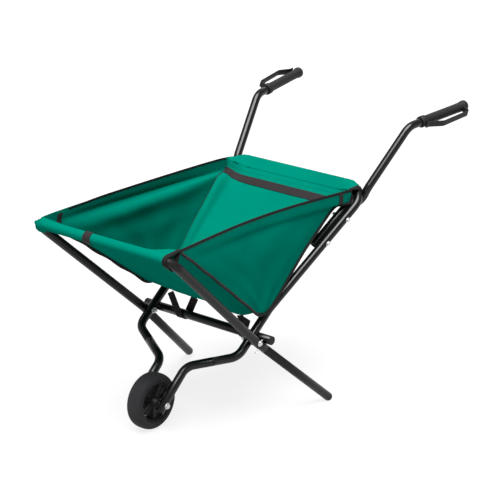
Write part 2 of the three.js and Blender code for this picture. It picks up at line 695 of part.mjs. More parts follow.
// The bottom of the bag: a V trough with closed ends.
function addTrough() {
  const front = onFront(TROUGH_FRONT[0], 0, TROUGH_FRONT[1]);
  const rear = onRear(TROUGH_REAR[0], 0, TROUGH_REAR[1]);
  const bottom = PIVOT.clone().add(BAG_BOTTOM);
  const prism = (points, half) => {
    const shape = new THREE.Shape(points.map((point) => new THREE.Vector2(point.x, point.z)));
    const solid = new THREE.ExtrudeGeometry(shape, { depth: 2 * half, bevelEnabled: false });
    return solid.rotateX(Math.PI / 2).translate(0, half, 0);
  };
  const outer = prism([front, rear, bottom], BAG_HALF_LOW);
  const raised = bottom.clone().setZ(bottom.z + 3 * CLOTH / 2);
  const open = new THREE.Vector3(0, 0, 100);
  const inner = prism(
    [raised, front.clone().setX(front.x - 1.5 * CLOTH), front.clone().add(open),
      rear.clone().add(open), rear.clone().setX(rear.x + 1.5 * CLOTH)],
    BAG_HALF_LOW - CLOTH,
  );
  add('bag_bottom', cut(outer, inner), FINISH.fabric());
}

function addSides() {
  for (const [label, side] of SIDES) {
    const corners = [
      onFront(TROUGH_FRONT[0] + SIDE_ABOVE_TROUGH, 0, TROUGH_FRONT[1]),
      onRear(TROUGH_REAR[0] + SIDE_ABOVE_TROUGH, 0, TROUGH_REAR[1] + SIDE_REAR_LIFT),
      onRear(SIDE_TOP_REAR[0], 0, SIDE_TOP_REAR[1]),
      onFront(SIDE_TOP_FRONT[0], 0, SIDE_TOP_FRONT[1]),
    ].map((point) => point.setY(side * widthAt(point.z)));
    const panel = wall(corners, SIDEWAYS.clone().multiplyScalar(-side * CLOTH));
    add(`bag_side_${label}`, panel, FINISH.fabric());
  }
}

function addSleeves() {
  const bore = TUBE_RADIUS + GAP;
  const rearCover = rearLine.only(({ y, z }) => Math.abs(y) < REAR_SLEEVE_HALF && z > SLEEVE_LOWEST);
  add('rear_sleeve', tubeOn(rearCover, SLEEVE_RADIUS, bore), FINISH.fabric());
  const frontCover = frontLine.only(({ y, z }) => Math.abs(y) < FRONT_SLEEVE_HALF && z > SLEEVE_LOWEST);
  add('front_sleeve', tubeOn(frontCover, SLEEVE_RADIUS, bore), FINISH.fabric());
  const rimCentre = onFront(FRONT_RIM_ALONG, RIM_STRAP_AT);
  const half = SIDEWAYS.clone().multiplyScalar(STRAP_WIDTH / 2);
  const strap = rod(rimCentre.clone().sub(half), rimCentre.clone().add(half),
    SLEEVE_RADIUS + 3 * GAP + STRAP, SLEEVE_RADIUS + 3 * GAP);
  add('rim_strap', strap, FINISH.webbing());
}

// Straps tie the bottom of the bag down to the cross tube.
function addBottomStraps() {
  const top = new THREE.Vector2(BAG_BOTTOM.x, PIVOT_HEIGHT + BAG_BOTTOM.z - 1.5);
  const centre = new THREE.Vector2(CROSS_CENTRE.x, CROSS_CENTRE.z);
  const lift = Math.asin(TUBE_RADIUS / top.distanceTo(centre));
  const loop = (radius, spread, drop) => [
    new THREE.Vector2(top.x + spread, top.y - drop),
    new THREE.Vector2(top.x - spread, top.y - drop),
    ...Array.from({ length: STRAP_ARC_STEPS + 1 }, (_, i) => {
      const angle = Math.PI - lift + ((Math.PI + 2 * lift) * i) / STRAP_ARC_STEPS;
      return new THREE.Vector2(centre.x + radius * Math.cos(angle), centre.y + radius * Math.sin(angle));
    }),
  ];
  const shape = new THREE.Shape(loop(TUBE_RADIUS + 2 * GAP + STRAP, 3, 1));
  shape.holes.push(new THREE.Path(loop(TUBE_RADIUS + 2 * GAP, 1.4, 3)));
  for (const [label, middle] of Object.entries(BOTTOM_STRAPS_AT)) {
    const band = new THREE.ExtrudeGeometry(shape, { depth: STRAP_WIDTH, bevelEnabled: false });
    band.rotateX(Math.PI / 2).translate(0, middle + STRAP_WIDTH / 2, 0);
    add(`bottom_strap_${label}`, band, FINISH.webbing());
  }
}

addRearFrame();
addForks();
addCrossTube();
addHandles();
addFrontFrame();
addLegs();
addPivots();
addWheel();
addWalls();
addTrough();
addSides();
addSleeves();
addBottomStraps();

// The frame's origin is under the middle of the whole cart, on the floor.
const extent = new THREE.Box3().setFromObject(cart, true);
for (const mesh of cart.children) {
  mesh.position.x -= (extent.min.x + extent.max.x) / 2;
}

export default cart;
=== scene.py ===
"""Folding garden cart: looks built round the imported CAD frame. Metres outside, millimetres in the helpers."""
import math

import bpy
import numpy as np
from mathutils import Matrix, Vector


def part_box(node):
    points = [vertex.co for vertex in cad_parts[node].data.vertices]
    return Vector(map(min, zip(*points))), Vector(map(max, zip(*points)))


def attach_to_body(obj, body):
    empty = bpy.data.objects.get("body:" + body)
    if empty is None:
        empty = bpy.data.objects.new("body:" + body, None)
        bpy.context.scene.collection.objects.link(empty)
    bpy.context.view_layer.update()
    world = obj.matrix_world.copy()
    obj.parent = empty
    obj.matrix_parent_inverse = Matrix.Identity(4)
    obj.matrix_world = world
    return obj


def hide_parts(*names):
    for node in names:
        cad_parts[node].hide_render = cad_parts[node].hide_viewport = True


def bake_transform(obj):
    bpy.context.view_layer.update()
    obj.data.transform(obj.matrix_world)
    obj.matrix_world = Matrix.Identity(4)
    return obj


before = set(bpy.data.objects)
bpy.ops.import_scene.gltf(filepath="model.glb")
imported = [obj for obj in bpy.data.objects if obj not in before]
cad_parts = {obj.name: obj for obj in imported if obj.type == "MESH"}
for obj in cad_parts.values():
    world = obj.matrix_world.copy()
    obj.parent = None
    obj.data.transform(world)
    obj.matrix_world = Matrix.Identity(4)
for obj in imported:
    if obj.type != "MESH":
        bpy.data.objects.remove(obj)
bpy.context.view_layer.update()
MM = 0.001

# ---- places taken from the frame ----
bolt_low, bolt_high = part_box("pivot_bolt_left")
PIVOT_X = (bolt_low.x + bolt_high.x) / 2
PIVOT_Z = (bolt_low.z + bolt_high.z) / 2 / MM
SIDES = (("left", 1), ("right", -1))

# ---- driving dimensions, as in the CAD source (mm) ----
TUBE_R, TUBE_WALL, HANDLE_R = 12.5, 1.4, 12.0
REAR_RISE, FRONT_RISE = math.radians(37), math.radians(42.5)
REAR_HALF_LOW, REAR_HALF_RIM = 183, 252
REAR_KINK, REAR_RIM, REAR_BEND = 109, 557, 55
FORK_TOP, FORK_LOW, FORK_HALF, FORK_BEND, FORK_JOINT, FORK_TAIL = -58, -135, 46, 40, 0.45, 25
AXLE_X, WHEEL_R, WHEEL_HALF = 202, 80, 25
LEG_HALF, FRONT_HALF, FRONT_RIM, FRONT_BEND, LEG_JOINT = 210, 244, 517, 45, 38
FOOT = (-255, 265, 11)
CROSS_HALF = 230
HANDLE_BOLTS = (360, 450)
GRIP_LENGTH, GRIP_R = 192, 15.2


# ---- vectors ----
def vec(x, y=0.0, z=0.0):
    return np.array([x, y, z], float)


def unit(v):
    return v / np.linalg.norm(v)


def turned(v, axis, angle):
    c, s = math.cos(angle), math.sin(angle)
    return v * c + np.cross(axis, v) * s + axis * np.dot(axis, v) * (1 - c)


REAR_UP = vec(-math.cos(REAR_RISE), 0, math.sin(REAR_RISE))
REAR_IN = vec(math.sin(REAR_RISE), 0, math.cos(REAR_RISE))
FRONT_UP = vec(math.cos(FRONT_RISE), 0, math.sin(FRONT_RISE))
FRONT_IN = vec(-math.sin(FRONT_RISE), 0, math.cos(FRONT_RISE))
SIDEWAYS = vec(0, 1, 0)
ORIGIN = vec(0, 0, PIVOT_Z)


def rear(along, y=0.0, inside=0.0):
    return ORIGIN + REAR_UP * along + REAR_IN * inside + SIDEWAYS * y


def front(along, y=0.0, inside=0.0):
    return ORIGIN + FRONT_UP * along + FRONT_IN * inside + SIDEWAYS * y


SPLAY = (REAR_HALF_RIM - REAR_HALF_LOW) / (REAR_RIM - REAR_KINK)


def rear_half(along):
    return REAR_HALF_LOW + SPLAY * max(0.0, along - REAR_KINK)


def rear_outward(side):
    tilt = math.atan(SPLAY)
    return SIDEWAYS * (side * math.cos(tilt)) - REAR_UP * math.sin(tilt)


# ---- meshes ----
def metres(points):
    p = np.array(points, float).reshape(-1, 3) * MM
    p[:, 0] += PIVOT_X
    return p


def make(name, points, faces, mat, uvs=None, sharp=35):
    mesh = bpy.data.meshes.new(name)
    mesh.from_pydata([tuple(p) for p in metres(points)], [], [tuple(f) for f in faces])
    mesh.validate()
    mesh.materials.append(mat)
    if uvs is not None:
        layer = mesh.uv_layers.new(name="UVMap")
        index = np.empty(len(mesh.loops), np.int32)
        mesh.loops.foreach_get("vertex_index", index)
        layer.data.foreach_set("uv", (np.array(uvs, float)[index] * MM).ravel())
    obj = bpy.data.objects.new(name, mesh)
    bpy.context.scene.collection.objects.link(obj)
    mesh.shade_smooth()
    mesh.set_sharp_from_angle(angle=math.radians(sharp))
    return obj


def skin(rings, caps=(True, True)):
    """Faces over a stack of closed rings of points, all with the same count."""
    rings = [np.array(r, float) for r in rings]
    n = len(rings[0])
    points = np.concatenate(rings)
    faces = []
    for i in range(len(rings) - 1):
        for j in range(n):
            a, b = i * n + j, i * n + (j + 1) % n
            faces.append((a, b, b + n, a + n))
    if caps[0]:
        faces.append(tuple(reversed(range(n))))
    if caps[1]:
        faces.append(tuple(range(len(points) - n, len(points))))
    return points, faces


def outward(points, faces):
    """The same faces, turned so that the closed skin encloses a positive volume."""
    p = np.array(points, float)
    volume = 0.0
    for f in faces:
        for k in range(1, len(f) - 1):
            volume += np.dot(p[f[0]], np.cross(p[f[k]], p[f[k + 1]]))
    return faces if volume > 0 else [tuple(reversed(f)) for f in faces]


def solid(name, rings, mat, caps=(True, True), sharp=35):
    points, faces = skin(rings, caps)
    return make(name, points, outward(points, faces), mat, sharp=sharp)


def merged(name, parts, mat, sharp=35):
    points, faces, start = [], [], 0
    for p, f in parts:
        f = outward(p, f)
        points.append(np.array(p, float))
        faces += [tuple(i + start for i in face) for face in f]
        start += len(p)
    return make(name, np.concatenate(points), faces, mat, sharp=sharp)


def bent(corners, bends, step=math.radians(5)):
    """Straight runs joined by round bends."""
    line = [corners[0]]
    for i in range(1, len(corners) - 1):
        a, b = unit(corners[i] - corners[i - 1]), unit(corners[i + 1] - corners[i])
        angle = math.acos(np.clip(np.dot(a, b), -1, 1))
        radius = bends[min(i - 1, len(bends) - 1)]
        start = corners[i] - a * radius * math.tan(angle / 2)
        axis = unit(np.cross(a, b))
        centre = start + np.cross(axis, a) * radius
        count = max(2, math.ceil(angle / step))
        line += [centre + turned(start - centre, axis, angle * k / count) for k in range(count + 1)]
    line.append(corners[-1])
    return np.array(line)


def spaced(line, gap):
    """The same line with stations no further apart than gap."""
    out = [line[0]]
    for a, b in zip(line[:-1], line[1:]):
        count = max(1, math.ceil(np.linalg.norm(b - a) / gap))
        out += [a + (b - a) * k / count for k in range(1, count + 1)]
    return np.array(out)


def axes_along(line, up):
    """Tangent, side and up of each station, carried along without twist."""
    steps = [unit(b - a) for a, b in zip(line[:-1], line[1:])]
    tangents = [steps[0]] + [unit(a + b) for a, b in zip(steps[:-1], steps[1:])] + [steps[-1]]
    frames, high = [], up
    for t in tangents:
        high = unit(high - t * np.dot(high, t))
        frames.append((t, np.cross(t, high), high))
    return frames


def circle(n, radius=1.0):
    return [(radius * math.cos(2 * math.pi * k / n), radius * math.sin(2 * math.pi * k / n)) for k in range(n)]


def swept(line, section, up):
    """Rings of a section carried along a line."""
    frames = axes_along(line, up)
    return [[p + side * a + high * b for a, b in section] for p, (_, side, high) in zip(line, frames)]


OPEN_DEPTH = 30  # how far into an open tube its bore is modelled
LIP = 0.35  # rounding of a cut tube end


def tube_rings(line, radius):
    """A tube's skin; its ends are open and show the wall and the bore."""
    frames = axes_along(line, vec(0.03, 0.02, 1))
    ring = lambda p, f, r: [p + f[1] * a + f[2] * b for a, b in circle(32, r)]
    bore = radius - TUBE_WALL

    def end(p, f, sign):
        t = f[0] * sign
        return [ring(p - t * OPEN_DEPTH, f, bore), ring(p - t * LIP, f, bore), ring(p, f, bore + LIP),
                ring(p, f, radius - LIP), ring(p - t * LIP, f, radius)]
    rings = end(line[0], frames[0], -1)
    rings += [ring(p, f, radius) for p, f in zip(line[1:-1], frames[1:-1])]
    return rings + end(line[-1], frames[-1], 1)[::-1]


def lathe(axis_point, axis, profile, sides=48):
    """Rings round an axis from (radius, height) pairs."""
    t = unit(axis)
    side = unit(np.cross(t, vec(0.3, 0.5, 0.8)))
    high = np.cross(t, side)
    return [[axis_point + t * h + side * a + high * b for a, b in circle(sides, max(r, 0.01))] for r, h in profile]


def rounded(width, height, radius, n=5):
    """A rectangle with round corners, as (side, up) pairs."""
    out = []
    for cx, cy, start in ((1, 1, 0), (-1, 1, 90), (-1, -1, 180), (1, -1, 270)):
        for k in range(n):
            a = math.radians(start + 90 * k / (n - 1))
            out.append((cx * (width / 2 - radius) + radius * math.cos(a),
                        cy * (height / 2 - radius) + radius * math.sin(a)))
    return out


# ---- materials ----
def srgb(r, g, b):
    lin = lambda c: c / 12.92 if c <= 0.04045 else ((c + 0.055) / 1.055) ** 2.4
    return (lin(r / 255), lin(g / 255), lin(b / 255), 1)


class Look:
    """A principled material with a few procedural layers."""

    def __init__(self, name, colour, roughness, metallic=0.0, **sockets):
        self.mat = bpy.data.materials.new(name)
        self.mat.use_nodes = True
        self.tree = self.mat.node_tree
        self.shader = self.tree.nodes["Principled BSDF"]
        self.colour, self.normal = colour, None
        self.shader.inputs["Base Color"].default_value = colour
        self.shader.inputs["Roughness"].default_value = roughness
        self.shader.inputs["Metallic"].default_value = metallic
        for key, value in sockets.items():
            self.shader.inputs[key.replace("_", " ")].default_value = value
        self.coords = self.tree.nodes.new("ShaderNodeTexCoord")
        self.mat.diffuse_color = colour

    def node(self, kind, **values):
        n = self.tree.nodes.new(kind)
        for key, value in values.items():
            if key in n.inputs:
                n.inputs[key].default_value = value
            else:
                setattr(n, key, value)
        return n

    def link(self, a, b):
        self.tree.links.new(a, b)

    def noise(self, scale, detail=3.0, rough=0.5):
        n = self.node("ShaderNodeTexNoise", Scale=scale, Detail=detail, Roughness=rough)
        self.link(self.coords.outputs["Object"], n.inputs["Vector"])
        return n.outputs["Fac"]

    def ramp(self, value, stops):
        r = self.node("ShaderNodeValToRGB")
        while len(r.color_ramp.elements) < len(stops):
            r.color_ramp.elements.new(0.5)
        for e, (place, c) in zip(r.color_ramp.elements, stops):
            e.position, e.color = place, (c, c, c, 1) if isinstance(c, (int, float)) else c
        self.link(value, r.inputs["Fac"])
        return r.outputs["Color"]

    def tint(self, value, stops):
        """Colour from a ramp over a pattern, multiplied onto what is there."""
        mix = self.node("ShaderNodeMix", data_type="RGBA", blend_type="MULTIPLY")
        mix.inputs["Factor"].default_value = 1.0
        base = self.shader.inputs["Base Color"]
        if base.is_linked:
            self.link(base.links[0].from_socket, mix.inputs["A"])
        else:
            mix.inputs["A"].default_value = self.colour
        self.link(self.ramp(value, stops), mix.inputs["B"])
        self.link(mix.outputs["Result"], base)
        return self

    def rough(self, value, low, high):
        m = self.node("ShaderNodeMapRange")
        m.inputs["To Min"].default_value, m.inputs["To Max"].default_value = low, high
        self.link(value, m.inputs["Value"])
        self.link(m.outputs["Result"], self.shader.inputs["Roughness"])
        return self

    def bump(self, value, strength, distance):
        b = self.node("ShaderNodeBump", Strength=strength, Distance=distance)
        self.link(value, b.inputs["Height"])
        if self.normal is not None:
            self.link(self.normal, b.inputs["Normal"])
        self.normal = b.outputs["Normal"]
        self.link(self.normal, self.shader.inputs["Normal"])
        return self

    def waves(self, period, direction):
        """Bands across the sheet, one for each period in metres."""
        w = self.node("ShaderNodeTexWave", Scale=0.314159 / period, Distortion=0.0, Detail=1.0)
        w.bands_direction = direction
        self.link(self.coords.outputs["UV"], w.inputs["Vector"])
        return w.outputs["Fac"]

    def combine(self, a, b, operation="MULTIPLY"):
        m = self.node("ShaderNodeMath", operation=operation)
        self.link(a, m.inputs[0])
        self.link(b, m.inputs[1])
        return m.outputs["Value"]


def woven(look, period, strength):
    """Plain weave: two crossing sets of threads in the sheet's own millimetres."""
    over = look.combine(look.waves(period, "X"), look.waves(period, "Y"))
    look.bump(over, strength, 0.0002)
    return over


def paint(name, colour, low, high, peel, **sockets):
    look = Look(name, colour, low, **sockets)
    broad = look.noise(9, 4, 0.6)
    look.rough(broad, low, high)
    look.tint(look.noise(35, 3), [(0.3, 0.9), (0.7, 1.08)])
    look.tint(look.noise(420, 2), [(0.72, 1.0), (0.8, (1.7, 1.65, 1.6, 1))])
    look.bump(look.noise(peel, 2), 0.06, 0.0003)
    return look.mat


def fabric(name, colour):
    look = Look(name, colour, 0.5, Specular_IOR_Level=0.0, Sheen_Weight=0.06, Sheen_Roughness=0.35)
    look.shader.inputs["Specular Tint"].default_value = srgb(40, 235, 205)
    look.shader.inputs["Sheen Tint"].default_value = srgb(0, 150, 128)
    weave = woven(look, 0.0009, 0.22)
    look.tint(look.noise(7, 4, 0.6), [(0.3, 0.93), (0.7, 1.05)])
    look.tint(weave, [(0.0, 0.94), (1.0, 1.03)])
    look.rough(look.noise(22, 3), 0.40, 0.56)
    look.bump(look.noise(55, 4, 0.6), 0.10, 0.0015)
    look.bump(look.noise(240, 3), 0.12, 0.0004)
    return look.mat


def tape(name, colour, period):
    look = Look(name, colour, 0.75, Sheen_Weight=0.05, Sheen_Roughness=0.4, Specular_IOR_Level=0.15)
    ribs = look.waves(period, "X")
    edge = look.waves(period * 2.7, "Y")
    look.tint(look.combine(ribs, edge, "MAXIMUM"), [(0.0, 0.72), (1.0, 1.12)])
    look.tint(look.noise(60, 3), [(0.3, 0.9), (0.7, 1.1)])
    look.bump(look.combine(ribs, edge, "MAXIMUM"), 0.5, 0.0004)
    return look.mat


GLOSS = paint("glossy_black", srgb(9, 9, 10), 0.16, 0.28, 900, Specular_IOR_Level=0.30)
SATIN = paint("satin_black", srgb(15, 13, 14), 0.34, 0.46, 700, Specular_IOR_Level=0.2)
GREEN = fabric("green_polyester", srgb(0, 94, 79))
WEBBING = tape("black_webbing", srgb(27, 23, 25), 0.0016)
BINDING = tape("black_binding", srgb(10, 9, 10), 0.0011)


def moulded(name, colour, low, high, grain, depth):
    look = Look(name, colour, low, Specular_IOR_Level=0.25)
    look.rough(look.noise(30, 3), low, high)
    look.tint(look.noise(18, 3), [(0.3, 0.9), (0.7, 1.1)])
    cells = look.node("ShaderNodeTexVoronoi", Scale=grain)
    look.link(look.coords.outputs["Object"], cells.inputs["Vector"])
    look.bump(cells.outputs["Distance"], 0.3, depth)
    return look


PLASTIC = moulded("moulded_black", srgb(17, 16, 18), 0.45, 0.62, 900, 0.0003).mat
GRIP = moulded("grip_vinyl", srgb(16, 15, 17), 0.5, 0.66, 700, 0.0004).mat
RUBBER_LOOK = moulded("tyre_foam_rubber", srgb(30, 30, 32), 0.74, 0.92, 420, 0.0009)
RUBBER_LOOK.tint(RUBBER_LOOK.noise(12, 4, 0.7), [(0.35, 0.86), (0.75, 1.25)])
RUBBER = RUBBER_LOOK.mat


def zinc():
    look = Look("bright_zinc", srgb(205, 206, 208), 0.25, 1.0)
    look.rough(look.noise(150, 3), 0.2, 0.42)
    look.tint(look.noise(60, 3), [(0.3, 0.85), (0.7, 1.0)])
    look.bump(look.noise(800, 2), 0.08, 0.0002)
    return look.mat


def thread(name, colour):
    look = Look(name, colour, 0.7, Specular_IOR_Level=0.08)
    look.tint(look.noise(900, 2), [(0.3, 0.75), (0.7, 1.15)])
    look.bump(look.noise(2500, 2), 0.4, 0.0002)
    return look.mat


ZINC = zinc()
GREEN_THREAD = thread("green_thread", srgb(0, 86, 72))


def piece(obj, body, slot, *nodes):
    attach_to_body(obj, body)
    if nodes:
        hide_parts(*nodes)
    return obj


# ---- tubes ----
def fork_joint(side):
    top, low = rear(FORK_TOP, side * REAR_HALF_LOW), rear(FORK_LOW, side * FORK_HALF)
    return top + (low - top) * FORK_JOINT


REAR_LINE = bent(
    [fork_joint(1), rear(FORK_TOP, REAR_HALF_LOW), rear(REAR_KINK, REAR_HALF_LOW), rear(REAR_RIM, REAR_HALF_RIM),
     rear(REAR_RIM, -REAR_HALF_RIM), rear(REAR_KINK, -REAR_HALF_LOW), rear(FORK_TOP, -REAR_HALF_LOW), fork_joint(-1)],
    [FORK_BEND, FORK_BEND, REAR_BEND, REAR_BEND, FORK_BEND, FORK_BEND],
)


def leg_down(side):
    return unit(vec(FOOT[0], side * FOOT[1], FOOT[2]) - (ORIGIN + SIDEWAYS * side * LEG_HALF))


def leg_joint(side):
    return ORIGIN + SIDEWAYS * (side * LEG_HALF) + leg_down(side) * LEG_JOINT


FRONT_LINE = bent(
    [leg_joint(1), ORIGIN + SIDEWAYS * LEG_HALF, front(FRONT_RIM, FRONT_HALF), front(FRONT_RIM, -FRONT_HALF),
     ORIGIN - SIDEWAYS * LEG_HALF, leg_joint(-1)],
    [FRONT_BEND],
)


def cross_centre():
    half = (REAR_RISE + FRONT_RISE) / 2
    reach = (2 * TUBE_R + 0.3) / math.sin(half)
    dip = (FRONT_RISE - REAR_RISE) / 2
    return ORIGIN + vec(-reach * math.cos(dip), 0, -reach * math.sin(dip))


CROSS = cross_centre()


def build_tubes():
    piece(solid("rear_frame_smooth", tube_rings(REAR_LINE, TUBE_R), GLOSS, sharp=50),
          "chassis", "glossy_black_tube", "rear_frame_tube")
    piece(solid("front_frame_smooth", tube_rings(FRONT_LINE, TUBE_R), SATIN, sharp=50),
          "front_frame", "satin_black_tube", "front_frame_tube")
    ends = [CROSS - SIDEWAYS * CROSS_HALF, CROSS + SIDEWAYS * CROSS_HALF]
    piece(solid("cross_tube_smooth", tube_rings(np.array(ends), TUBE_R), GLOSS, sharp=50),
          "chassis", "glossy_black_tube", "cross_tube")
    for label, side in SIDES:
        start = fork_joint(side)
        low, axle = rear(FORK_LOW, side * FORK_HALF), vec(AXLE_X, side * FORK_HALF, WHEEL_R)
        slope, down = unit(low - start), unit(axle - low)
        line = bent([start + slope * 0.3, low, axle + down * FORK_TAIL], [FORK_BEND])
        piece(solid(f"fork_smooth_{label}", tube_rings(line, TUBE_R), GLOSS, sharp=50),
              "chassis", "glossy_black_tube", f"fork_tube_{label}")
        top, foot = leg_joint(side), vec(FOOT[0], side * FOOT[1], FOOT[2])
        line = np.array([top + leg_down(side) * 0.3, foot])
        piece(solid(f"leg_smooth_{label}", tube_rings(line, TUBE_R), SATIN, sharp=50),
              "front_frame", "satin_black_tube", f"leg_{label}")
        build_foot(label, foot, leg_down(side))
        build_cross_cap(label, side)


def finish_spigots():
    """The joining spigots inside the tubes keep their modelled shape."""
    for label, _ in SIDES:
        for name in (f"fork_spigot_{label}", f"leg_spigot_{label}"):
            mesh = bpy.data.objects[name].data
            mesh.materials.clear()
            mesh.materials.append(ZINC)


def build_foot(label, end, down):
    """A moulded plug with a dome, worn flat where it stands."""
    plug = TUBE_R - TUBE_WALL - 0.9
    arc = [math.radians(90 * k / 10) for k in range(11)]
    profile = [(0, -22), (plug - 1, -22), (plug, -21), (plug, 0.01), (TUBE_R - 0.3, 0.02)]
    profile += [(TUBE_R * math.cos(a), TUBE_R * math.sin(a)) for a in arc[:-1]] + [(0.02, TUBE_R)]
    rings = lathe(end + down * 0.3, down, profile, 32)
    rings = [[vec(p[0], p[1], max(p[2], 0.0)) for p in ring] for ring in rings]
    piece(solid(f"foot_plug_{label}", rings, PLASTIC, sharp=50), "front_frame", "black_plastic", f"foot_{label}")


def build_cross_cap(label, side):
    face = CROSS + SIDEWAYS * side * (CROSS_HALF + 0.3)
    plug = TUBE_R - TUBE_WALL - 0.6
    profile = [(0, -12), (plug, -12), (plug, -0.01), (TUBE_R - 0.4, 0), (TUBE_R, 0.5), (TUBE_R, 2.4),
               (TUBE_R - 0.7, 3.5), (TUBE_R - 2.5, 4.2), (TUBE_R - 3, 3.7), (4, 3.7), (0, 3.7)]
    piece(solid(f"cross_plug_{label}", lathe(face, SIDEWAYS * side, profile, 32), PLASTIC),
          "chassis", "black_plastic", f"cross_cap_{label}")


# ---- handles and grips ----
HANDLE_GAP = (TUBE_R + HANDLE_R + 0.6) / math.cos(math.atan(SPLAY))
HANDLE_STRAIGHT = (340, 486)  # along the rear frame: the handle's low end, and where its dive begins
HANDLE_DIVE = ((540, 224, -37), (567, 242, -7))  # along, half width and inside, round the rim's bend
HANDLE_BENDS = (30, 30, 30, 55)
HANDLE_TOP = vec(-601, 280, 739)
GRIP_END = vec(-837, 309, 756)
GUARD_TURN = 20  # degrees, both guards the same way round their grips
GUARD_LINE = ((15, GRIP_R - 0.6), (15, 33), (128, 37), (172, GRIP_R + 4.2), (184, GRIP_R + 4.2))  # along and out
GUARD_BENDS = (8, 24, 20)
GUARD_SECTION = (4.2, 19, 1.6)  # thickness, height, corner radius


def mirrored(p, side):
    return vec(p[0], p[1] * side, p[2])


def handle_corners(side):
    beside = [rear(along, side * (rear_half(along) - HANDLE_GAP)) for along in HANDLE_STRAIGHT]
    dive = [rear(along, side * half, inside) for along, half, inside in HANDLE_DIVE]
    return [*beside, *dive, mirrored(HANDLE_TOP, side), mirrored(GRIP_END, side)]


def build_handles():
    for label, side in SIDES:
        corners = handle_corners(side)
        line = bent(corners, HANDLE_BENDS)
        piece(solid(f"handle_smooth_{label}", tube_rings(line, HANDLE_R), GLOSS, sharp=50),
              "chassis", "glossy_black_tube", f"handle_tube_{label}")
        build_grip(label, side, corners[-2], corners[-1])
        for i, along in enumerate(HANDLE_BOLTS):
            build_handle_bolt(label, side, along, i + 1)


def build_grip(label, side, bend, end):
    along = unit(end - bend)
    start = end - along * GRIP_LENGTH
    length, flutes, count = GRIP_LENGTH + 6, 18, 144
    profile = [(12.3, 0.2), (GRIP_R - 0.6, 0), (GRIP_R + 1.2, 1.2), (GRIP_R + 1.8, 4), (GRIP_R + 1.8, 17),
               (GRIP_R + 1.2, 20), (GRIP_R - 0.6, 22), (GRIP_R - 1.1, 26), (GRIP_R - 1.2, 60), (GRIP_R - 1.2, 150),
               (GRIP_R - 0.7, 176), (GRIP_R + 0.9, 183), (GRIP_R + 1.3, 190), (GRIP_R + 0.8, 194.5),
               (GRIP_R - 1, 197), (GRIP_R - 4, length - 0.4), (4, length), (0, length)]
    side_axis = unit(np.cross(along, vec(0, 0, 1)))
    high = np.cross(side_axis, along)
    rings = []
    for r, h in profile:
        depth = 0.55 if 24 < h < 180 else 0.0
        ring = []
        for k in range(count):
            a = 2 * math.pi * k / count
            radius = max(r - depth * (0.5 + 0.5 * math.cos(flutes * a)) ** 2, 0.01)
            ring.append(start + along * h + side_axis * radius * math.cos(a) + high * radius * math.sin(a))
        rings.append(ring)
    inner = [[start + along * h + side_axis * a + high * b for a, b in circle(count, 12.3)] for h in (187, 0.3)]
    piece(solid(f"grip_moulding_{label}", [inner[0]] + rings, GRIP, sharp=60), "chassis", "black_plastic",
          f"grip_{label}")
    build_guard(label, side, start, along)


def build_guard(label, side, start, along):
    """A flat strip, square to the grip at one end; the two sides are turned end for end."""
    level = unit(np.cross(along, vec(0, 0, 1)))
    turn = lambda v: turned(v, along, math.radians(GUARD_TURN))
    out = turn(level * (math.copysign(1, level[1]) * side))
    at = lambda run, reach: start + along * (GRIP_LENGTH - run if side > 0 else run) + out * reach
    line = spaced(bent([at(*place) for place in GUARD_LINE], GUARD_BENDS), 8)
    rings = swept(line, rounded(*GUARD_SECTION), turn(unit(np.cross(level, along))))
    piece(solid(f"guard_strip_{label}", rings, GRIP, sharp=60), "chassis", "black_plastic", f"hand_guard_{label}")


# ---- fasteners ----
def hex_head(face, axis, radius, height, turn=0.0):
    """A bevelled six-sided head, standing along axis from its face."""
    t = unit(axis)
    side = unit(np.cross(t, vec(0.2, 0.9, 0.4)))
    side = turned(side, t, turn)
    high = np.cross(t, side)
    rings = []
    for r, h in ((radius * 0.96, 0), (radius, 0.3), (radius, height * 0.78), (radius * 0.84, height)):
        rings.append([face + t * h + side * a + high * b for a, b in circle(6, r)])
    return skin(rings)


def turned_part(face, axis, profile, sides=28):
    return skin(lathe(face, axis, profile, sides))


def threaded(start, axis, radius, length, pitch=1.2):
    profile, h = [(radius, 0)], 0.0
    while h < length - 1.5:
        profile += [(radius, h + pitch * 0.25), (radius - 0.45, h + pitch * 0.5), (radius, h + pitch * 0.75)]
        h += pitch
    profile += [(radius, length - 1.2), (radius - 0.8, length), (0, length)]
    return turned_part(start, axis, profile, 20)


def build_handle_bolt(label, side, along, number):
    inward = -rear_outward(side)
    middle = rear(along, side * rear_half(along))
    face = middle - inward * (TUBE_R + 0.3)
    stack = 2 * TUBE_R + 2 * HANDLE_R + 0.9
    head = [turned_part(face, -inward, [(7.2, 0), (7.2, 0.9), (6.6, 1.2), (0, 1.2)]),
            hex_head(face - inward * 1.2, -inward, 6, 4.2, 0.4),
            turned_part(face, inward, [(3, 0), (3, stack), (0, stack)], 20)]
    piece(merged(f"handle_bolt_fine_{label}_{number}", head, ZINC), "chassis", "zinc_steel",
          f"handle_bolt_{label}_{number}")
    seat = face + inward * (stack + 0.3)
    nut = [hex_head(seat, inward, 6, 5, 0.7), threaded(seat + inward * 4.8, inward, 3, 4.2)]
    piece(merged(f"handle_nut_fine_{label}_{number}", nut, ZINC), "chassis", "zinc_steel",
          f"handle_nut_{label}_{number}")


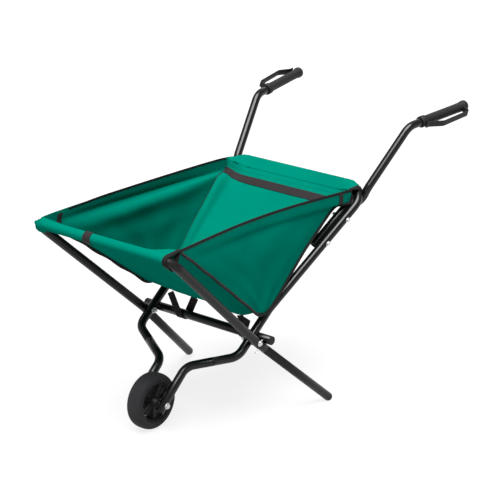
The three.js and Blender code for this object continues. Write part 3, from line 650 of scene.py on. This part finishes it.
def build_pivots():
    for label, side in SIDES:
        outer = LEG_HALF + TUBE_R + 1.5
        inward = SIDEWAYS * -side
        face = ORIGIN + SIDEWAYS * side * outer
        stack = outer - (REAR_HALF_LOW - TUBE_R)
        bolt = [turned_part(face, -inward, [(8.5, -1.4), (9, -0.8), (8.2, 0), (0, 0)], 36),
                turned_part(face, -inward, [(7.4, 0), (7.4, 1.2), (6.4, 3.0), (4.4, 4.1), (0, 4.4)], 36),
                turned_part(face, inward, [(4, 0), (4, stack), (0, stack)])]
        piece(merged(f"pivot_bolt_fine_{label}", bolt, ZINC), "front_frame", "zinc_steel")
        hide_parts(f"pivot_bolt_{label}")
        seat = face + inward * (stack + 0.3)
        nut = [turned_part(seat, inward, [(8.8, 0), (9, 0.5), (8.6, 1.3), (0, 1.3)], 36),
               hex_head(seat + inward * 1.2, inward, 7.5, 6.2, 0.2),
               threaded(seat + inward * 7.2, inward, 4, 5.0)]
        piece(merged(f"pivot_nut_fine_{label}", nut, ZINC), "chassis", "zinc_steel", f"pivot_nut_{label}")
        middle = ORIGIN + SIDEWAYS * side * (LEG_HALF + REAR_HALF_LOW) / 2
        washer = lathe(middle - SIDEWAYS * 0.55, SIDEWAYS, [(4.3, 0), (10.6, 0), (11, 0.3), (11, 0.8), (10.6, 1.1),
                                                          (4.3, 1.1), (4.3, 0)], 36)
        piece(solid(f"pivot_washer_fine_{label}", washer, PLASTIC, caps=(False, False)), "chassis",
              "black_plastic", f"pivot_washer_{label}")
        build_lock_pin(label, side)


def build_lock_pin(label, side):
    """A wire pin through the leg, with a small collar on the leg's inner side."""
    middle = ORIGIN + SIDEWAYS * (side * LEG_HALF) + leg_down(side) * 16
    low, high = middle - FRONT_IN * 30, middle + FRONT_IN * 16
    rod = lathe(low, FRONT_IN, [(0, 0), (1.3, 0.1), (1.8, 0.7), (1.8, 45.2), (1.2, 45.9), (0, 46)], 20)
    collar = [(3.4, 0), (3.4, 0.8), (2.4, 1.6), (0, 1.7)]
    parts = [skin(rod), turned_part(middle + FRONT_IN * (TUBE_R + 0.2), FRONT_IN, collar)]
    piece(merged(f"lock_pin_fine_{label}", parts, ZINC), "front_frame", "zinc_steel", f"lock_pin_{label}")


# ---- wheel ----
AXLE = vec(AXLE_X, 0, WHEEL_R)
SPOKES = 5
SPOKE_TURN = 38  # degrees from upright to the first spoke
SPOKE_HALF = (5.5, 11.5)  # half width at the hub's centre and at the rim
SPOKE_REACH = 54
SPOKE_WEB, SPOKE_EDGE = 25, 30  # depth of the sunk middle and of the edges


def build_wheel():
    half = WHEEL_HALF
    outline = []
    for k in range(29):
        a = math.pi * k / 28
        c, s = math.cos(a), math.sin(a)
        squarer = lambda v, power: math.copysign(abs(v) ** power, v)
        outline.append((60 + 20 * squarer(s, 0.62), -half * squarer(c, 0.72)))
    inner = [(57.2, half - 2.4), (56.2, half - 5), (56, half - 7), (56, -half + 7), (56.2, -half + 5),
             (57.2, -half + 2.4)]
    profile = outline + inner
    points, faces = skin(lathe(AXLE, SIDEWAYS, profile + profile[:1], 96), caps=(False, False))
    tyre = make("tyre_moulding", points, outward(points, faces), RUBBER, sharp=60)
    piece(tyre, "wheel", "tyre_rubber", "tyre")
    build_wheel_centre()
    build_axle()


def build_wheel_centre():
    """Rim, hub and five wedge spokes, each spoke sunk between its two edges."""
    edge = WHEEL_HALF - 6
    rim = [(55.7, -edge), (54, -edge - 0.8), (52.2, -edge), (51.3, -edge + 2), (51, -4), (50.8, 0), (51, 4),
           (51.3, edge - 2), (52.2, edge), (54, edge + 0.8), (55.7, edge), (55.7, -edge)]
    parts = [skin(lathe(AXLE, SIDEWAYS, rim, 96), caps=(False, False))]
    half_hub = [(5.6, 27), (10.2, 27), (11.2, 26), (12.4, 20), (14.4, 17), (15, 14)]
    hub = [(r, -h) for r, h in half_hub] + half_hub[::-1] + [(5.6, -27)]
    parts.append(skin(lathe(AXLE, SIDEWAYS, hub, 48), caps=(False, False)))
    for k in range(SPOKES):
        angle = math.radians(SPOKE_TURN + 360 * k / SPOKES)
        out = vec(math.sin(angle), 0, math.cos(angle))
        across = np.cross(SIDEWAYS, out)
        half = lambda h: lerp(*SPOKE_HALF, h / SPOKE_REACH)
        for place, width, depth in ((0, None, SPOKE_WEB), (-1, 2.4, SPOKE_EDGE), (1, 2.4, SPOKE_EDGE)):
            rings = []
            for h in (10, 24, 38, 51.6):
                centre = AXLE + out * h + across * place * (half(h) - 1.2)
                section = rounded(width or 2 * half(h) - 1, depth, 0.9, 3)
                rings.append([centre + across * a + SIDEWAYS * b for a, b in section])
            parts.append(skin(rings))
    piece(merged("wheel_moulding", parts, PLASTIC, 40), "wheel", "black_plastic", "wheel_centre")


def build_axle():
    outer = FORK_HALF + TUBE_R + 0.3
    face = AXLE + SIDEWAYS * outer
    bolt = [turned_part(face, SIDEWAYS, [(9.4, 0), (9.4, 1.2), (8.8, 1.5), (0, 1.5)], 36),
            hex_head(face + SIDEWAYS * 1.4, SIDEWAYS, 8, 4.6, 0.3),
            turned_part(face, -SIDEWAYS, [(5, 0), (5, 2 * outer), (0, 2 * outer)])]
    piece(merged("axle_bolt_fine", bolt, ZINC), "chassis", "zinc_steel", "axle_bolt")
    seat = AXLE - SIDEWAYS * (outer + 0.3)
    nut = [turned_part(seat, -SIDEWAYS, [(9.2, 0), (9.4, 0.4), (9.2, 1.4), (0, 1.4)], 36),
           hex_head(seat - SIDEWAYS * 1.3, -SIDEWAYS, 8, 7, 0.3),
           threaded(seat - SIDEWAYS * 8, -SIDEWAYS, 5, 3.6, 1.5)]
    piece(merged("axle_nut_fine", nut, ZINC), "chassis", "zinc_steel", "axle_nut")
    for label, side in SIDES:
        near, far = 27.6, FORK_HALF - TUBE_R - 0.3
        profile = [(5.3, near), (8.6, near), (9, near + 0.5), (9, far - 0.5), (8.6, far), (5.3, far), (5.3, near)]
        rings = lathe(AXLE, SIDEWAYS * side, profile, 32)
        piece(solid(f"axle_spacer_fine_{label}", rings, PLASTIC, caps=(False, False)), "chassis", "black_plastic",
              f"axle_spacer_{label}")


# ---- the bag ----
TOP_FRONT = {1: vec(331, 229, 605), -1: vec(360, -241, 602)}  # corners, by side
TOP_REAR = {1: vec(-393, 234, 590), -1: vec(-391, -229, 595)}
B = vec(-36, 199, 303)  # bottom corner on the left
REAR_SEAM = [TOP_REAR[1], vec(-386, 231, 558), vec(-358, 224, 555), vec(-327, 215, 549), vec(-252, 207, 486),
             vec(-207, 203, 447), vec(-149, 198, 388), vec(-99, 196, 340), B]
CLOTH_T = 1.1  # thickness
FRONT_RIDGE, REAR_RIDGE = 15.5, 21.5  # height of each sleeve's ridge over its tube's centre
FOLD_SPAN = (52, 478)  # where the cloth would begin and end to follow the front frame; FOLD_START and FOLD_END come from it, and nothing here reads them
ROUND = 0.09  # share of the strip that turns round the bottom
FOLD_START = tuple(metres([rear(300, 0, FOLD_SPAN[0])])[0])
FOLD_END = tuple(metres([rear(300, 0, FOLD_SPAN[1])])[0])


def soft(obj, slot, *nodes):
    """Bakes a cloth piece's placement into its mesh and hides the CAD nodes it stands in for."""
    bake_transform(obj)
    if nodes:
        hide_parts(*nodes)
    return obj


def lerp(a, b, t):
    return a + (b - a) * t


def hump(t, centre, width):
    return math.exp(-((t - centre) / width) ** 2)


def smooth(t):
    t = min(1.0, max(0.0, t))
    return t * t * (3 - 2 * t)


def arch(t, power=1.0):
    return max(0.0, math.sin(math.pi * min(1.0, max(0.0, t)))) ** power


def through(points, t):
    """A point at share t of the length of a smooth curve through a few points."""
    pts = np.array(points, float)
    run = np.concatenate([[0], np.cumsum(np.linalg.norm(np.diff(pts, axis=0), axis=1))])
    x = min(max(t, 0.0), 1.0) * run[-1]
    i = int(min(max(np.searchsorted(run, x) - 1, 0), len(pts) - 2))
    f = (x - run[i]) / (run[i + 1] - run[i])
    p0, p1, p2, p3 = pts[max(i - 1, 0)], pts[i], pts[i + 1], pts[min(i + 2, len(pts) - 1)]
    return 0.5 * ((2 * p1) + (p2 - p0) * f + (2 * p0 - 5 * p1 + 4 * p2 - p3) * f ** 2
                  + (3 * p1 - p0 - 3 * p2 + p3) * f ** 3)


def grid_points(surface, nu, nv):
    return np.array([[surface(i / nu, j / nv) for j in range(nv + 1)] for i in range(nu + 1)])


def lengths(grid):
    """Millimetre coordinates in the sheet for each point of a grid."""
    du = np.linalg.norm(np.diff(grid, axis=0), axis=2)
    dv = np.linalg.norm(np.diff(grid, axis=1), axis=2)
    u = np.concatenate([np.zeros((1, grid.shape[1])), np.cumsum(du, 0)])
    v = np.concatenate([np.zeros((grid.shape[0], 1)), np.cumsum(dv, 1)], 1)
    return np.stack([u - u.mean(0), v - v.mean(1, keepdims=True)], 2)


def normals(grid):
    n = np.cross(np.gradient(grid, axis=0), np.gradient(grid, axis=1))
    return n / np.maximum(np.linalg.norm(n, axis=2, keepdims=True), 1e-9)


def sheet_mesh(name, grid, mat, thickness=CLOTH_T):
    """A closed thin sheet on both sides of a grid of points."""
    nu, nv = grid.shape[0], grid.shape[1]
    n = normals(grid)
    points = np.concatenate([(grid + n * thickness / 2).reshape(-1, 3), (grid - n * thickness / 2).reshape(-1, 3)])
    uv = lengths(grid).reshape(-1, 2)
    at = lambda i, j: i * nv + j
    half = nu * nv
    faces = []
    for i in range(nu - 1):
        for j in range(nv - 1):
            quad = (at(i, j), at(i + 1, j), at(i + 1, j + 1), at(i, j + 1))
            faces.append(quad)
            faces.append(tuple(q + half for q in reversed(quad)))
    rim = [at(i, 0) for i in range(nu)] + [at(nu - 1, j) for j in range(1, nv)]
    rim += [at(i, nv - 1) for i in range(nu - 2, -1, -1)] + [at(0, j) for j in range(nv - 2, 0, -1)]
    for a, b in zip(rim, rim[1:] + rim[:1]):
        faces.append((b, a, a + half, b + half))
    return make(name, points, outward(points, faces), mat, np.concatenate([uv, uv]), sharp=55)


def top_edge(t, side):
    """The side panel's top edge from the front corner to the rear corner."""
    bow, lift = (21 * arch(t, 1.1), 5 * arch(t)) if side > 0 else (6 * arch(t), 9 * arch(t, 0.5))
    return lerp(TOP_FRONT[side], TOP_REAR[side], t) + vec(0, -bow * side, lift)


def vee(s, first, low, last):
    """From first down to low and up to last, with a round bottom."""
    if s <= 0.5 - ROUND / 2:
        return lerp(first, low, 2 * s)
    if s >= 0.5 + ROUND / 2:
        return lerp(low, last, 2 * s - 1)
    t = (s - 0.5 + ROUND / 2) / ROUND
    p0, p2 = lerp(first, low, 1 - ROUND), lerp(low, last, ROUND)
    return p0 * (1 - t) ** 2 + low * (2 * t * (1 - t)) + p2 * t ** 2


def seam_bow(s):
    """How far the left seam is off the straight lines between its corners."""
    if s <= 0.5:
        return vec(3, 0, 5) * arch(2 * s)
    q = 2 * (1 - s)
    return through(REAR_SEAM, q) - lerp(TOP_REAR[1], B, q)


def seam(s, side):
    """The edge the strip and a side panel share: front corner, bottom corner, rear corner."""
    return vee(s, TOP_FRONT[side], mirrored(B, side), TOP_REAR[side]) + mirrored(seam_bow(s), side)


def bottom_line(w):
    y = w * B[1]
    drop = 7 * arch(0.5 + y / 400) + 16 * hump(y, 128, 55) * smooth((B[1] - y) / 60)
    return vec(B[0] - 2 * (1 - w ** 4), y, B[2] - drop)


def front_top(w):
    """Where the front wall meets its sleeve."""
    return wall_top(w, front(497, 0, 18), TOP_FRONT, 0.55)


def rear_top(w):
    return wall_top(w, rear(REAR_RIM - 27, 0, 15), TOP_REAR, 0.72)


def wall_top(w, middle, corners, start):
    """A wall's top edge: level in the middle, then off to its corners."""
    corner = corners[1 if w > 0 else -1]
    share = smooth((abs(w) - start) / (1 - start))
    return vec(lerp(middle[0], corner[0], share), abs(w) * corner[1], lerp(middle[2], corner[2], share))


def strip(s, w):
    """The front wall, the bottom and the back wall, one piece of cloth."""
    p = vee(s, front_top(w), bottom_line(w), rear_top(w))
    bow, near_edge = seam_bow(s), abs(w) ** (2 if s < 0.5 else 5)
    p = p + vec(bow[0], bow[1] * math.copysign(1, w), bow[2]) * near_edge
    inner = 1 - w * w
    if s < 0.5:
        q = 2 * s
        ripple = 1.6 * math.sin(9 * w + 5 * q) + 1.1 * math.sin(23 * w - 8 * q)
        return p - FRONT_IN * (9 * arch(q) * inner + ripple * arch(q, 0.8) * inner)
    q = 2 * (1 - s)
    beside = (1 + w) * 205
    pleat = 5.4 * hump(beside, 17, 7) - 4.0 * hump(beside, 33, 9) + 2.6 * hump(beside, 52, 12)
    tuck = 2.2 * math.sin(beside / 5.5) * hump(q, 0.0, 0.07) * hump(beside, 20, 30)
    ripple = 1.5 * math.sin(7 * w + 9 * q) + 0.9 * math.sin(19 * w - 6 * q)
    return p - REAR_IN * (7 * arch(q) * inner + ripple * arch(q, 0.8) * inner - pleat * arch(q, 0.5) - tuck)


def panel(side):
    """A side panel: straight between its four edges, then pushed in or out along its folds."""
    stop = 0.5 - ROUND / 2
    left = lambda v: seam(v * stop, side)
    right = lambda v: seam(1 - v * stop, side)
    bottom = lambda u: seam(stop + ROUND * u, side)
    corners = left(0), right(0), left(1), right(1)

    def surface(u, v):
        p = top_edge(u, side) * (1 - v) + bottom(u) * v + left(v) * (1 - u) + right(v) * u
        p = p - (corners[0] * (1 - u) + corners[1] * u) * (1 - v) - (corners[2] * (1 - u) + corners[3] * u) * v
        edge = arch(u, 0.8)
        if side < 0:
            inward = (13 * hump(v, 0.25, 0.085) - 10 * hump(v, 0.11, 0.042)) * edge
            inward += 5 * hump(v, 0.47, 0.12) * edge - 6 * arch(u) * arch(v)
        else:
            inward = (4 * hump(v, 0.16, 0.06) - 3 * hump(v, 0.4, 0.14)) * edge - 8 * arch(u) * arch(v, 0.8)
        fade = edge * arch(v, 0.7)
        inward += fade * (1.2 * math.sin(15 * u + 9 * v) + 0.9 * math.sin(31 * u - 13 * v + 1))
        near_bottom = hump(v, 0.86, 0.1) * arch(u)
        inward += 2.0 * near_bottom * math.sin(u * 17)
        return p + vec(0, -side * inward, 0)
    return surface


def declare(obj):
    return obj


def build_walls():
    surface = lambda u, v: strip(v, 2 * u - 1)
    main = sheet_mesh("bag_strip", grid_points(surface, 88, 150), GREEN)
    declare(soft(main, "green_fabric", "bag_front", "bag_back", "bag_bottom"))
    for label, side in SIDES:
        obj = sheet_mesh(f"bag_panel_{label}", grid_points(panel(side), 96, 60), GREEN)
        declare(soft(obj, "green_fabric", f"bag_side_{label}"))


# ---- the sleeves over the two rims ----
def hull(points):
    """Convex outline of flat points, anticlockwise."""
    pts = sorted(set((round(a, 4), round(b, 4)) for a, b in points))

    def chain(items):
        out = []
        for p in items:
            while len(out) > 1 and ((out[-1][0] - out[-2][0]) * (p[1] - out[-2][1])
                                    - (out[-1][1] - out[-2][1]) * (p[0] - out[-2][0])) <= 0:
                out.pop()
            out.append(p)
        return out[:-1]
    return chain(pts) + chain(reversed(pts))


def evenly(outline, start, count):
    """count points round a closed outline, beginning nearest to start."""
    pts = np.array(outline)
    k = int(np.argmin(np.linalg.norm(pts - np.array(start), axis=1)))
    pts = np.roll(pts, -k, axis=0)
    pts = np.vstack([pts, pts[:1]])
    run = np.concatenate([[0], np.cumsum(np.linalg.norm(np.diff(pts, axis=0), axis=1))])
    at = np.linspace(0, run[-1], count, endpoint=False)
    return np.stack([np.interp(at, run, pts[:, 0]), np.interp(at, run, pts[:, 1])], 1)


def rim_of(line):
    """The stretch of a frame's line between its widest points, by rising y."""
    pts = line[int(np.argmax(line[:, 1])):int(np.argmin(line[:, 1])) + 1]
    return pts[np.argsort(pts[:, 1])]


FRONT_BAR, REAR_BAR = rim_of(FRONT_LINE), rim_of(REAR_LINE)
SLEEVE_POINTS = 48


def bar_at(bar, y):
    return vec(np.interp(y, bar[:, 1], bar[:, 0]), y, np.interp(y, bar[:, 1], bar[:, 2]))


def sleeve_ring(bar, y, tip, ridge, grow=0.0):
    """A section of a sleeve at y: the cloth is drawn tight round the bar, its ridge and the wall's edge."""
    limit = min(-bar[0, 1], bar[-1, 1]) - 3
    over = max(0.0, abs(y) - limit) / (1.8 if y < 0 else 1.0)
    radius = math.sqrt(max(0.0, 13.9 ** 2 - over ** 2)) + grow
    spots = []
    for step in (-7, 0, 7):
        centre = bar_at(bar, max(-limit, min(limit, y + step)))
        spots += [(centre[0] + a, centre[2] + b) for a, b in circle(24, max(radius, 0.6))]
    centre = bar_at(bar, max(-limit, min(limit, y)))
    if ridge > 14:
        spots += [(centre[0] + a, centre[2] + ridge - 5 + b) for a, b in circle(12, 5 + grow)]
    spots += [(tip[0] + a, tip[2] + b) for a, b in circle(12, 2.2 + grow)]
    flat = evenly(hull(spots), (tip[0], tip[2]), SLEEVE_POINTS)
    return np.stack([flat[:, 0], np.full(SLEEVE_POINTS, y), flat[:, 1]], 1)


def shell(name, rings, mat, thickness=CLOTH_T):
    """A sleeve open at both ends, with an inner and an outer face."""
    inner = []
    for ring in rings:
        along = np.roll(ring, -1, axis=0) - np.roll(ring, 1, axis=0)
        inside = np.cross(along, SIDEWAYS)
        inside /= np.maximum(np.linalg.norm(inside, axis=1, keepdims=True), 1e-9)
        if np.dot(inside[0], ring.mean(0) - ring[0]) < 0:
            inside = -inside
        inner.append(ring + inside * thickness)
    loop = list(rings) + inner[::-1]
    n, m = len(rings[0]), len(loop)
    points = np.concatenate(loop)
    faces = [(i * n + j, i * n + (j + 1) % n, (i + 1) % m * n + (j + 1) % n, (i + 1) % m * n + j)
             for i in range(m) for j in range(n)]
    around = np.linspace(0, 120, n, endpoint=False)
    uv = np.concatenate([np.stack([ring[:, 1], around], 1) for ring in loop])
    return make(name, points, outward(points, faces), mat, uv, sharp=50)


def sleeve_tip(y, bar, corners, top):
    """The wall's edge inside a sleeve, drawn in to the bar past the corner."""
    corner = corners[1 if y > 0 else -1]
    tip = top(max(-1.0, min(1.0, y / abs(corner[1]))))
    past = smooth((abs(y) - abs(corner[1])) / 14)
    return lerp(tip, bar_at(bar, y), past)


def front_tip(y):
    return sleeve_tip(y, FRONT_BAR, TOP_FRONT, front_top)


def rear_tip(y):
    return sleeve_tip(y, REAR_BAR, TOP_REAR, rear_top)


def spread(a, b, gap=5):
    return np.linspace(a, b, max(2, int(abs(b - a) / gap)))


def crumple(ring, y, amount):
    """Small puckers where the cloth is drawn over a bend."""
    centre = ring.mean(0)
    out = ring - centre
    out /= np.maximum(np.linalg.norm(out, axis=1, keepdims=True), 1e-9)
    wave = np.array([math.sin(y * 0.9 + k * 0.55) * math.sin(k * 0.26) for k in range(len(ring))])
    return ring + out * np.maximum(wave[:, None] * amount, -0.2)


def build_sleeves():
    far_rise = lambda y: FRONT_RIDGE + 7 * smooth((-y - 185) / 50) * smooth((262 + y) / 12)
    rings = [sleeve_ring(FRONT_BAR, y, front_tip(y), far_rise(y)) for y in spread(231, -265, 4)]
    pucker = lambda y: 0.9 * smooth((abs(y) - 170) / 50) * smooth((248 - abs(y)) / 10)
    rings = [crumple(r, r[0][1], pucker(r[0][1])) for r in rings]
    obj = shell("front_sleeve_cloth", rings, GREEN)
    declare(soft(obj, "green_fabric", "front_sleeve"))
    rings = [sleeve_ring(REAR_BAR, y, rear_tip(y), REAR_RIDGE) for y in spread(234, -236)]
    rings = [crumple(r, r[0][1], 1.5 * smooth((abs(r[0][1]) - 160) / 50)) for r in rings]
    obj = shell("rear_sleeve_cloth", rings, GREEN)
    declare(soft(obj, "green_fabric", "rear_sleeve"))
    strap = [sleeve_ring(FRONT_BAR, y, front_tip(y), FRONT_RIDGE, 1.5) for y in (-55, -54, -48, -42, -36, -30, -29)]
    obj = shell("rim_strap_webbing", strap, WEBBING, 1.3)
    soft(obj, "black_webbing", "rim_strap")


# ---- bindings, band, straps and stitches ----
def ribbon(name, line, width, thick, up, mat, slot="black_webbing", nodes=()):
    rings = swept(np.array(line), rounded(thick, width, min(thick, width) * 0.35, 3), up)
    obj = solid(name, rings, mat, sharp=50)
    return soft(obj, slot, *nodes)


def edge_lines():
    """Every bound edge: name, line, up."""
    out = []
    for label, side in SIDES:
        start = 0.0 if side > 0 else 0.13
        sink = lambda t: 0.0 if side > 0 else 3.5 * (1 - smooth((t - start) / 0.2))
        tops = [top_edge(t, side) + vec(0, 0, -1.0 - sink(t)) for t in np.linspace(start, 1.0, 60)]
        out.append((f"top_binding_{label}", tops, vec(0, 0, 1), 8.0 if side > 0 else 6.0, 3.2))
        fin = unit(vec(0.35, side * 0.75, -0.55))
        fronts = [seam(s, side) + fin * (3.6 + 1.8 * math.sin(58 * s)) for s in np.linspace(0.004, 0.5, 60)]
        out.append((f"front_seam_binding_{label}", fronts, fin, 12.0, 5.0))
        fin = unit(vec(-0.45, side * 0.75, -0.5))
        rears = [seam(s, side) + fin * 3.2 for s in np.linspace(0.5, 0.985, 60)]
        out.append((f"rear_seam_binding_{label}", rears, fin, 9.0, 3.4))
    return out


def build_bindings():
    for name, line, up, width, thick in edge_lines():
        ribbon(name, line, width, thick, up, BINDING)
    ends = (("front_left", FRONT_BAR, front_tip, FRONT_RIDGE, (223, 227, 231.6)),
            ("rear_left", REAR_BAR, rear_tip, REAR_RIDGE, (226, 230, 234.6)),
            ("rear_right", REAR_BAR, rear_tip, REAR_RIDGE, (-236.6, -232, -228)))
    for label, bar, tip, ridge, places in ends:
        rings = [sleeve_ring(bar, y, tip(y), ridge, 1.9) for y in places]
        soft(shell(f"sleeve_end_binding_{label}", rings, BINDING, 3.4), "black_webbing")


PATCHES = (("front_right", -1, (0.062, 0.086), (0.03, 0.125), -0.052),
           ("rear_left", 1, (0.925, 0.945), (0.0, 0.085), 0.012))  # side, shares of the panel, slant
PATCH_LIFT = vec(0, 1.7, 0)


def build_patches():
    """Webbing sewn over the ends of the inner bands: inside the right panel, outside the left one."""
    for label, side, across, down, slant in PATCHES:
        surface = panel(side)
        patch = lambda u, v: surface(lerp(*across, u) + slant * v, lerp(*down, v)) + PATCH_LIFT
        soft(sheet_mesh(f"corner_patch_{label}", grid_points(patch, 8, 12), WEBBING, 1.8), "black_webbing")


def build_band():
    """Webbing sewn across the inside of the back wall under its sleeve, and its twin inside the front wall."""
    def rear_band(u, v):
        w = lerp(-1.0, 1.0, u)
        along = 486 + 26 * (v - 0.5)
        top = rear_top(w)
        high = np.dot(top - ORIGIN, REAR_UP)
        q = 1 - (along - 64.3) / (high - 64.3)
        return strip(1 - q / 2, w) + REAR_IN * 1.7
    obj = sheet_mesh("back_band_webbing", grid_points(rear_band, 90, 6), WEBBING, 1.6)
    soft(obj, "black_webbing", "back_band")

    def front_band(u, v):
        return strip((0.045 + 0.055 * v) / 2, lerp(-0.97, 0.97, u)) + FRONT_IN * 1.6
    soft(sheet_mesh("front_band_webbing", grid_points(front_band, 80, 4), WEBBING, 1.6), "black_webbing")


def build_straps():
    """Each strap is sewn to the bottom at both ends and passes under the cross tube."""
    reach = TUBE_R + 1.6
    for label, tops, middles in (("left", (153, 112), (141, 126)), ("right", (-131, -54), (-98, -84))):
        attach = [bottom_line(y / B[1]) + vec(x, 0, 1.5) for y, x in zip(tops, (9, -9))]
        line = [attach[0]]
        steps = 13
        for k in range(steps):
            a = math.radians(12 - 204 * k / (steps - 1))
            y = lerp(middles[0], middles[1], k / (steps - 1))
            line.append(CROSS + vec(reach * math.cos(a), y, reach * math.sin(a)))
        line.append(attach[1])
        line = spaced(np.array(line), 6)
        rings = []
        for i, p in enumerate(line):
            t = unit(line[min(i + 1, len(line) - 1)] - line[max(i - 1, 0)])
            across = unit(SIDEWAYS - t * np.dot(SIDEWAYS, t))
            up = np.cross(t, across)
            rings.append([p + across * a + up * b for a, b in rounded(25, 1.7, 0.6, 3)])
        soft(solid(f"bottom_strap_webbing_{label}", rings, WEBBING, sharp=60), "black_webbing",
             f"bottom_strap_{label}")


def stitch_row(line, lift, spacing=4.2, length=2.7, gauge=0.45):
    """Small raised stitches along a line, each a short rounded bar."""
    parts = []
    pts = np.array(line)
    run = np.concatenate([[0], np.cumsum(np.linalg.norm(np.diff(pts, axis=0), axis=1))])
    for k in range(int(run[-1] / spacing)):
        ends = []
        for place in (k * spacing, k * spacing + length):
            ends.append(vec(*[np.interp(place, run, pts[:, i]) for i in range(3)]) + lift)
        t = unit(ends[1] - ends[0])
        side = unit(np.cross(t, lift))
        high = np.cross(side, t)
        rings = []
        for f, r in ((0, 0.45), (0.2, 1), (0.8, 1), (1, 0.45)):
            p = lerp(ends[0], ends[1], f)
            rings.append([p + side * a * 1.2 + high * b for a, b in circle(5, gauge * r)])
        parts.append(skin(rings))
    return parts


def build_stitches():
    rows = []
    for w0, q in ((0.93, 0.035), (0.93, 0.115)):
        line = [strip(1 - q / 2, w) for w in np.linspace(-w0, w0, 80)]
        rows += stitch_row(line, REAR_IN * 0.8)
    obj = merged("stitches_back_wall", rows, GREEN_THREAD)
    soft(obj, "green_fabric")
    rows = []
    for label, side in SIDES:
        surface = panel(side)
        out = vec(0, side, 0)
        line = [surface(u, 0.024) for u in np.linspace(0.03, 0.97, 120)]
        rows += stitch_row(line, out * 0.8) + stitch_row(line, out * -0.8)
    soft(merged("stitches_side_panels", rows, GREEN_THREAD), "green_fabric")
    rows = []
    line = [strip(0.014, w) for w in np.linspace(-0.95, 0.95, 80)]
    rows += stitch_row(line, FRONT_IN * -0.8)
    soft(merged("stitches_front_wall", rows, GREEN_THREAD), "green_fabric")


def build_bag():
    build_walls()
    build_sleeves()
    build_bindings()
    build_patches()
    build_band()
    build_straps()
    build_stitches()


# ---- floor, light and camera ----
def build_stage():
    mesh = bpy.data.meshes.new("floor")
    size, level = 400, -0.0005
    corners = [(x * size, y * size, level) for x, y in ((-1, -1), (1, -1), (1, 1), (-1, 1))]
    mesh.from_pydata(corners, [], [(0, 1, 2, 3)])
    look = Look("pale_floor", srgb(90, 90, 90), 0.95, Specular_IOR_Level=0.1, Emission_Strength=0.82)
    look.shader.inputs["Emission Color"].default_value = (1, 1, 1, 1)
    look.tint(look.noise(2.0, 2), [(0.3, 0.995), (0.7, 1.0)])
    mesh.materials.append(look.mat)
    floor = bpy.data.objects.new("floor", mesh)
    bpy.context.scene.collection.objects.link(floor)
    world = bpy.data.worlds.new("studio")
    bpy.context.scene.world = world
    world.use_nodes = True
    world.node_tree.nodes["Background"].inputs["Color"].default_value = (1, 1, 1, 1)
    world.node_tree.nodes["Background"].inputs["Strength"].default_value = 0.45
    sun_light("key", (0.25, 0.16, 0.95), 9.0, 0.9)
    area_light("camera_side", (3.2, 2.2, 2.6), (0, 0, 0.4), 1.6, 7)
    area_light("behind", (-3.0, -1.6, 2.4), (0, 0, 0.4), 1.6, 10)
    bpy.context.scene.view_settings.view_transform = "Standard"


def sun_light(name, towards, strength, softness):
    data = bpy.data.lights.new(name, "SUN")
    data.energy, data.angle = strength, softness
    lamp = bpy.data.objects.new(name, data)
    bpy.context.scene.collection.objects.link(lamp)
    lamp.rotation_mode = "QUATERNION"
    lamp.rotation_quaternion = (-Vector(towards)).to_track_quat("-Z", "Y")


def area_light(name, place, target, size, power):
    data = bpy.data.lights.new(name, "AREA")
    data.shape, data.size, data.energy = "SQUARE", size, power
    lamp = bpy.data.objects.new(name, data)
    bpy.context.scene.collection.objects.link(lamp)
    lamp.location = place
    lamp.rotation_mode = "QUATERNION"
    lamp.rotation_quaternion = (Vector(target) - Vector(place)).to_track_quat("-Z", "Y")


CAMERA_AZIMUTH, CAMERA_ELEVATION, CAMERA_DISTANCE = 129.62, 19.61, 5.7717
CAMERA_TARGET = Vector((-0.22572, -0.18459, 0.300))


def build_camera():
    data = bpy.data.cameras.new("camera")
    data.sensor_width, data.lens = 36, 137.31
    data.clip_end = 1200
    camera = bpy.data.objects.new("camera", data)
    bpy.context.scene.collection.objects.link(camera)
    a, e = math.radians(CAMERA_AZIMUTH), math.radians(CAMERA_ELEVATION)
    back = Vector((math.sin(a) * math.cos(e), -math.cos(a) * math.cos(e), math.sin(e)))
    camera.location = CAMERA_TARGET + back * CAMERA_DISTANCE
    camera.rotation_mode = "QUATERNION"
    camera.rotation_quaternion = (-back).to_track_quat("-Z", "Y")
    bpy.context.scene.camera = camera


build_stage()
build_camera()
build_tubes()
finish_spigots()
build_handles()
build_pivots()
build_wheel()
build_bag()
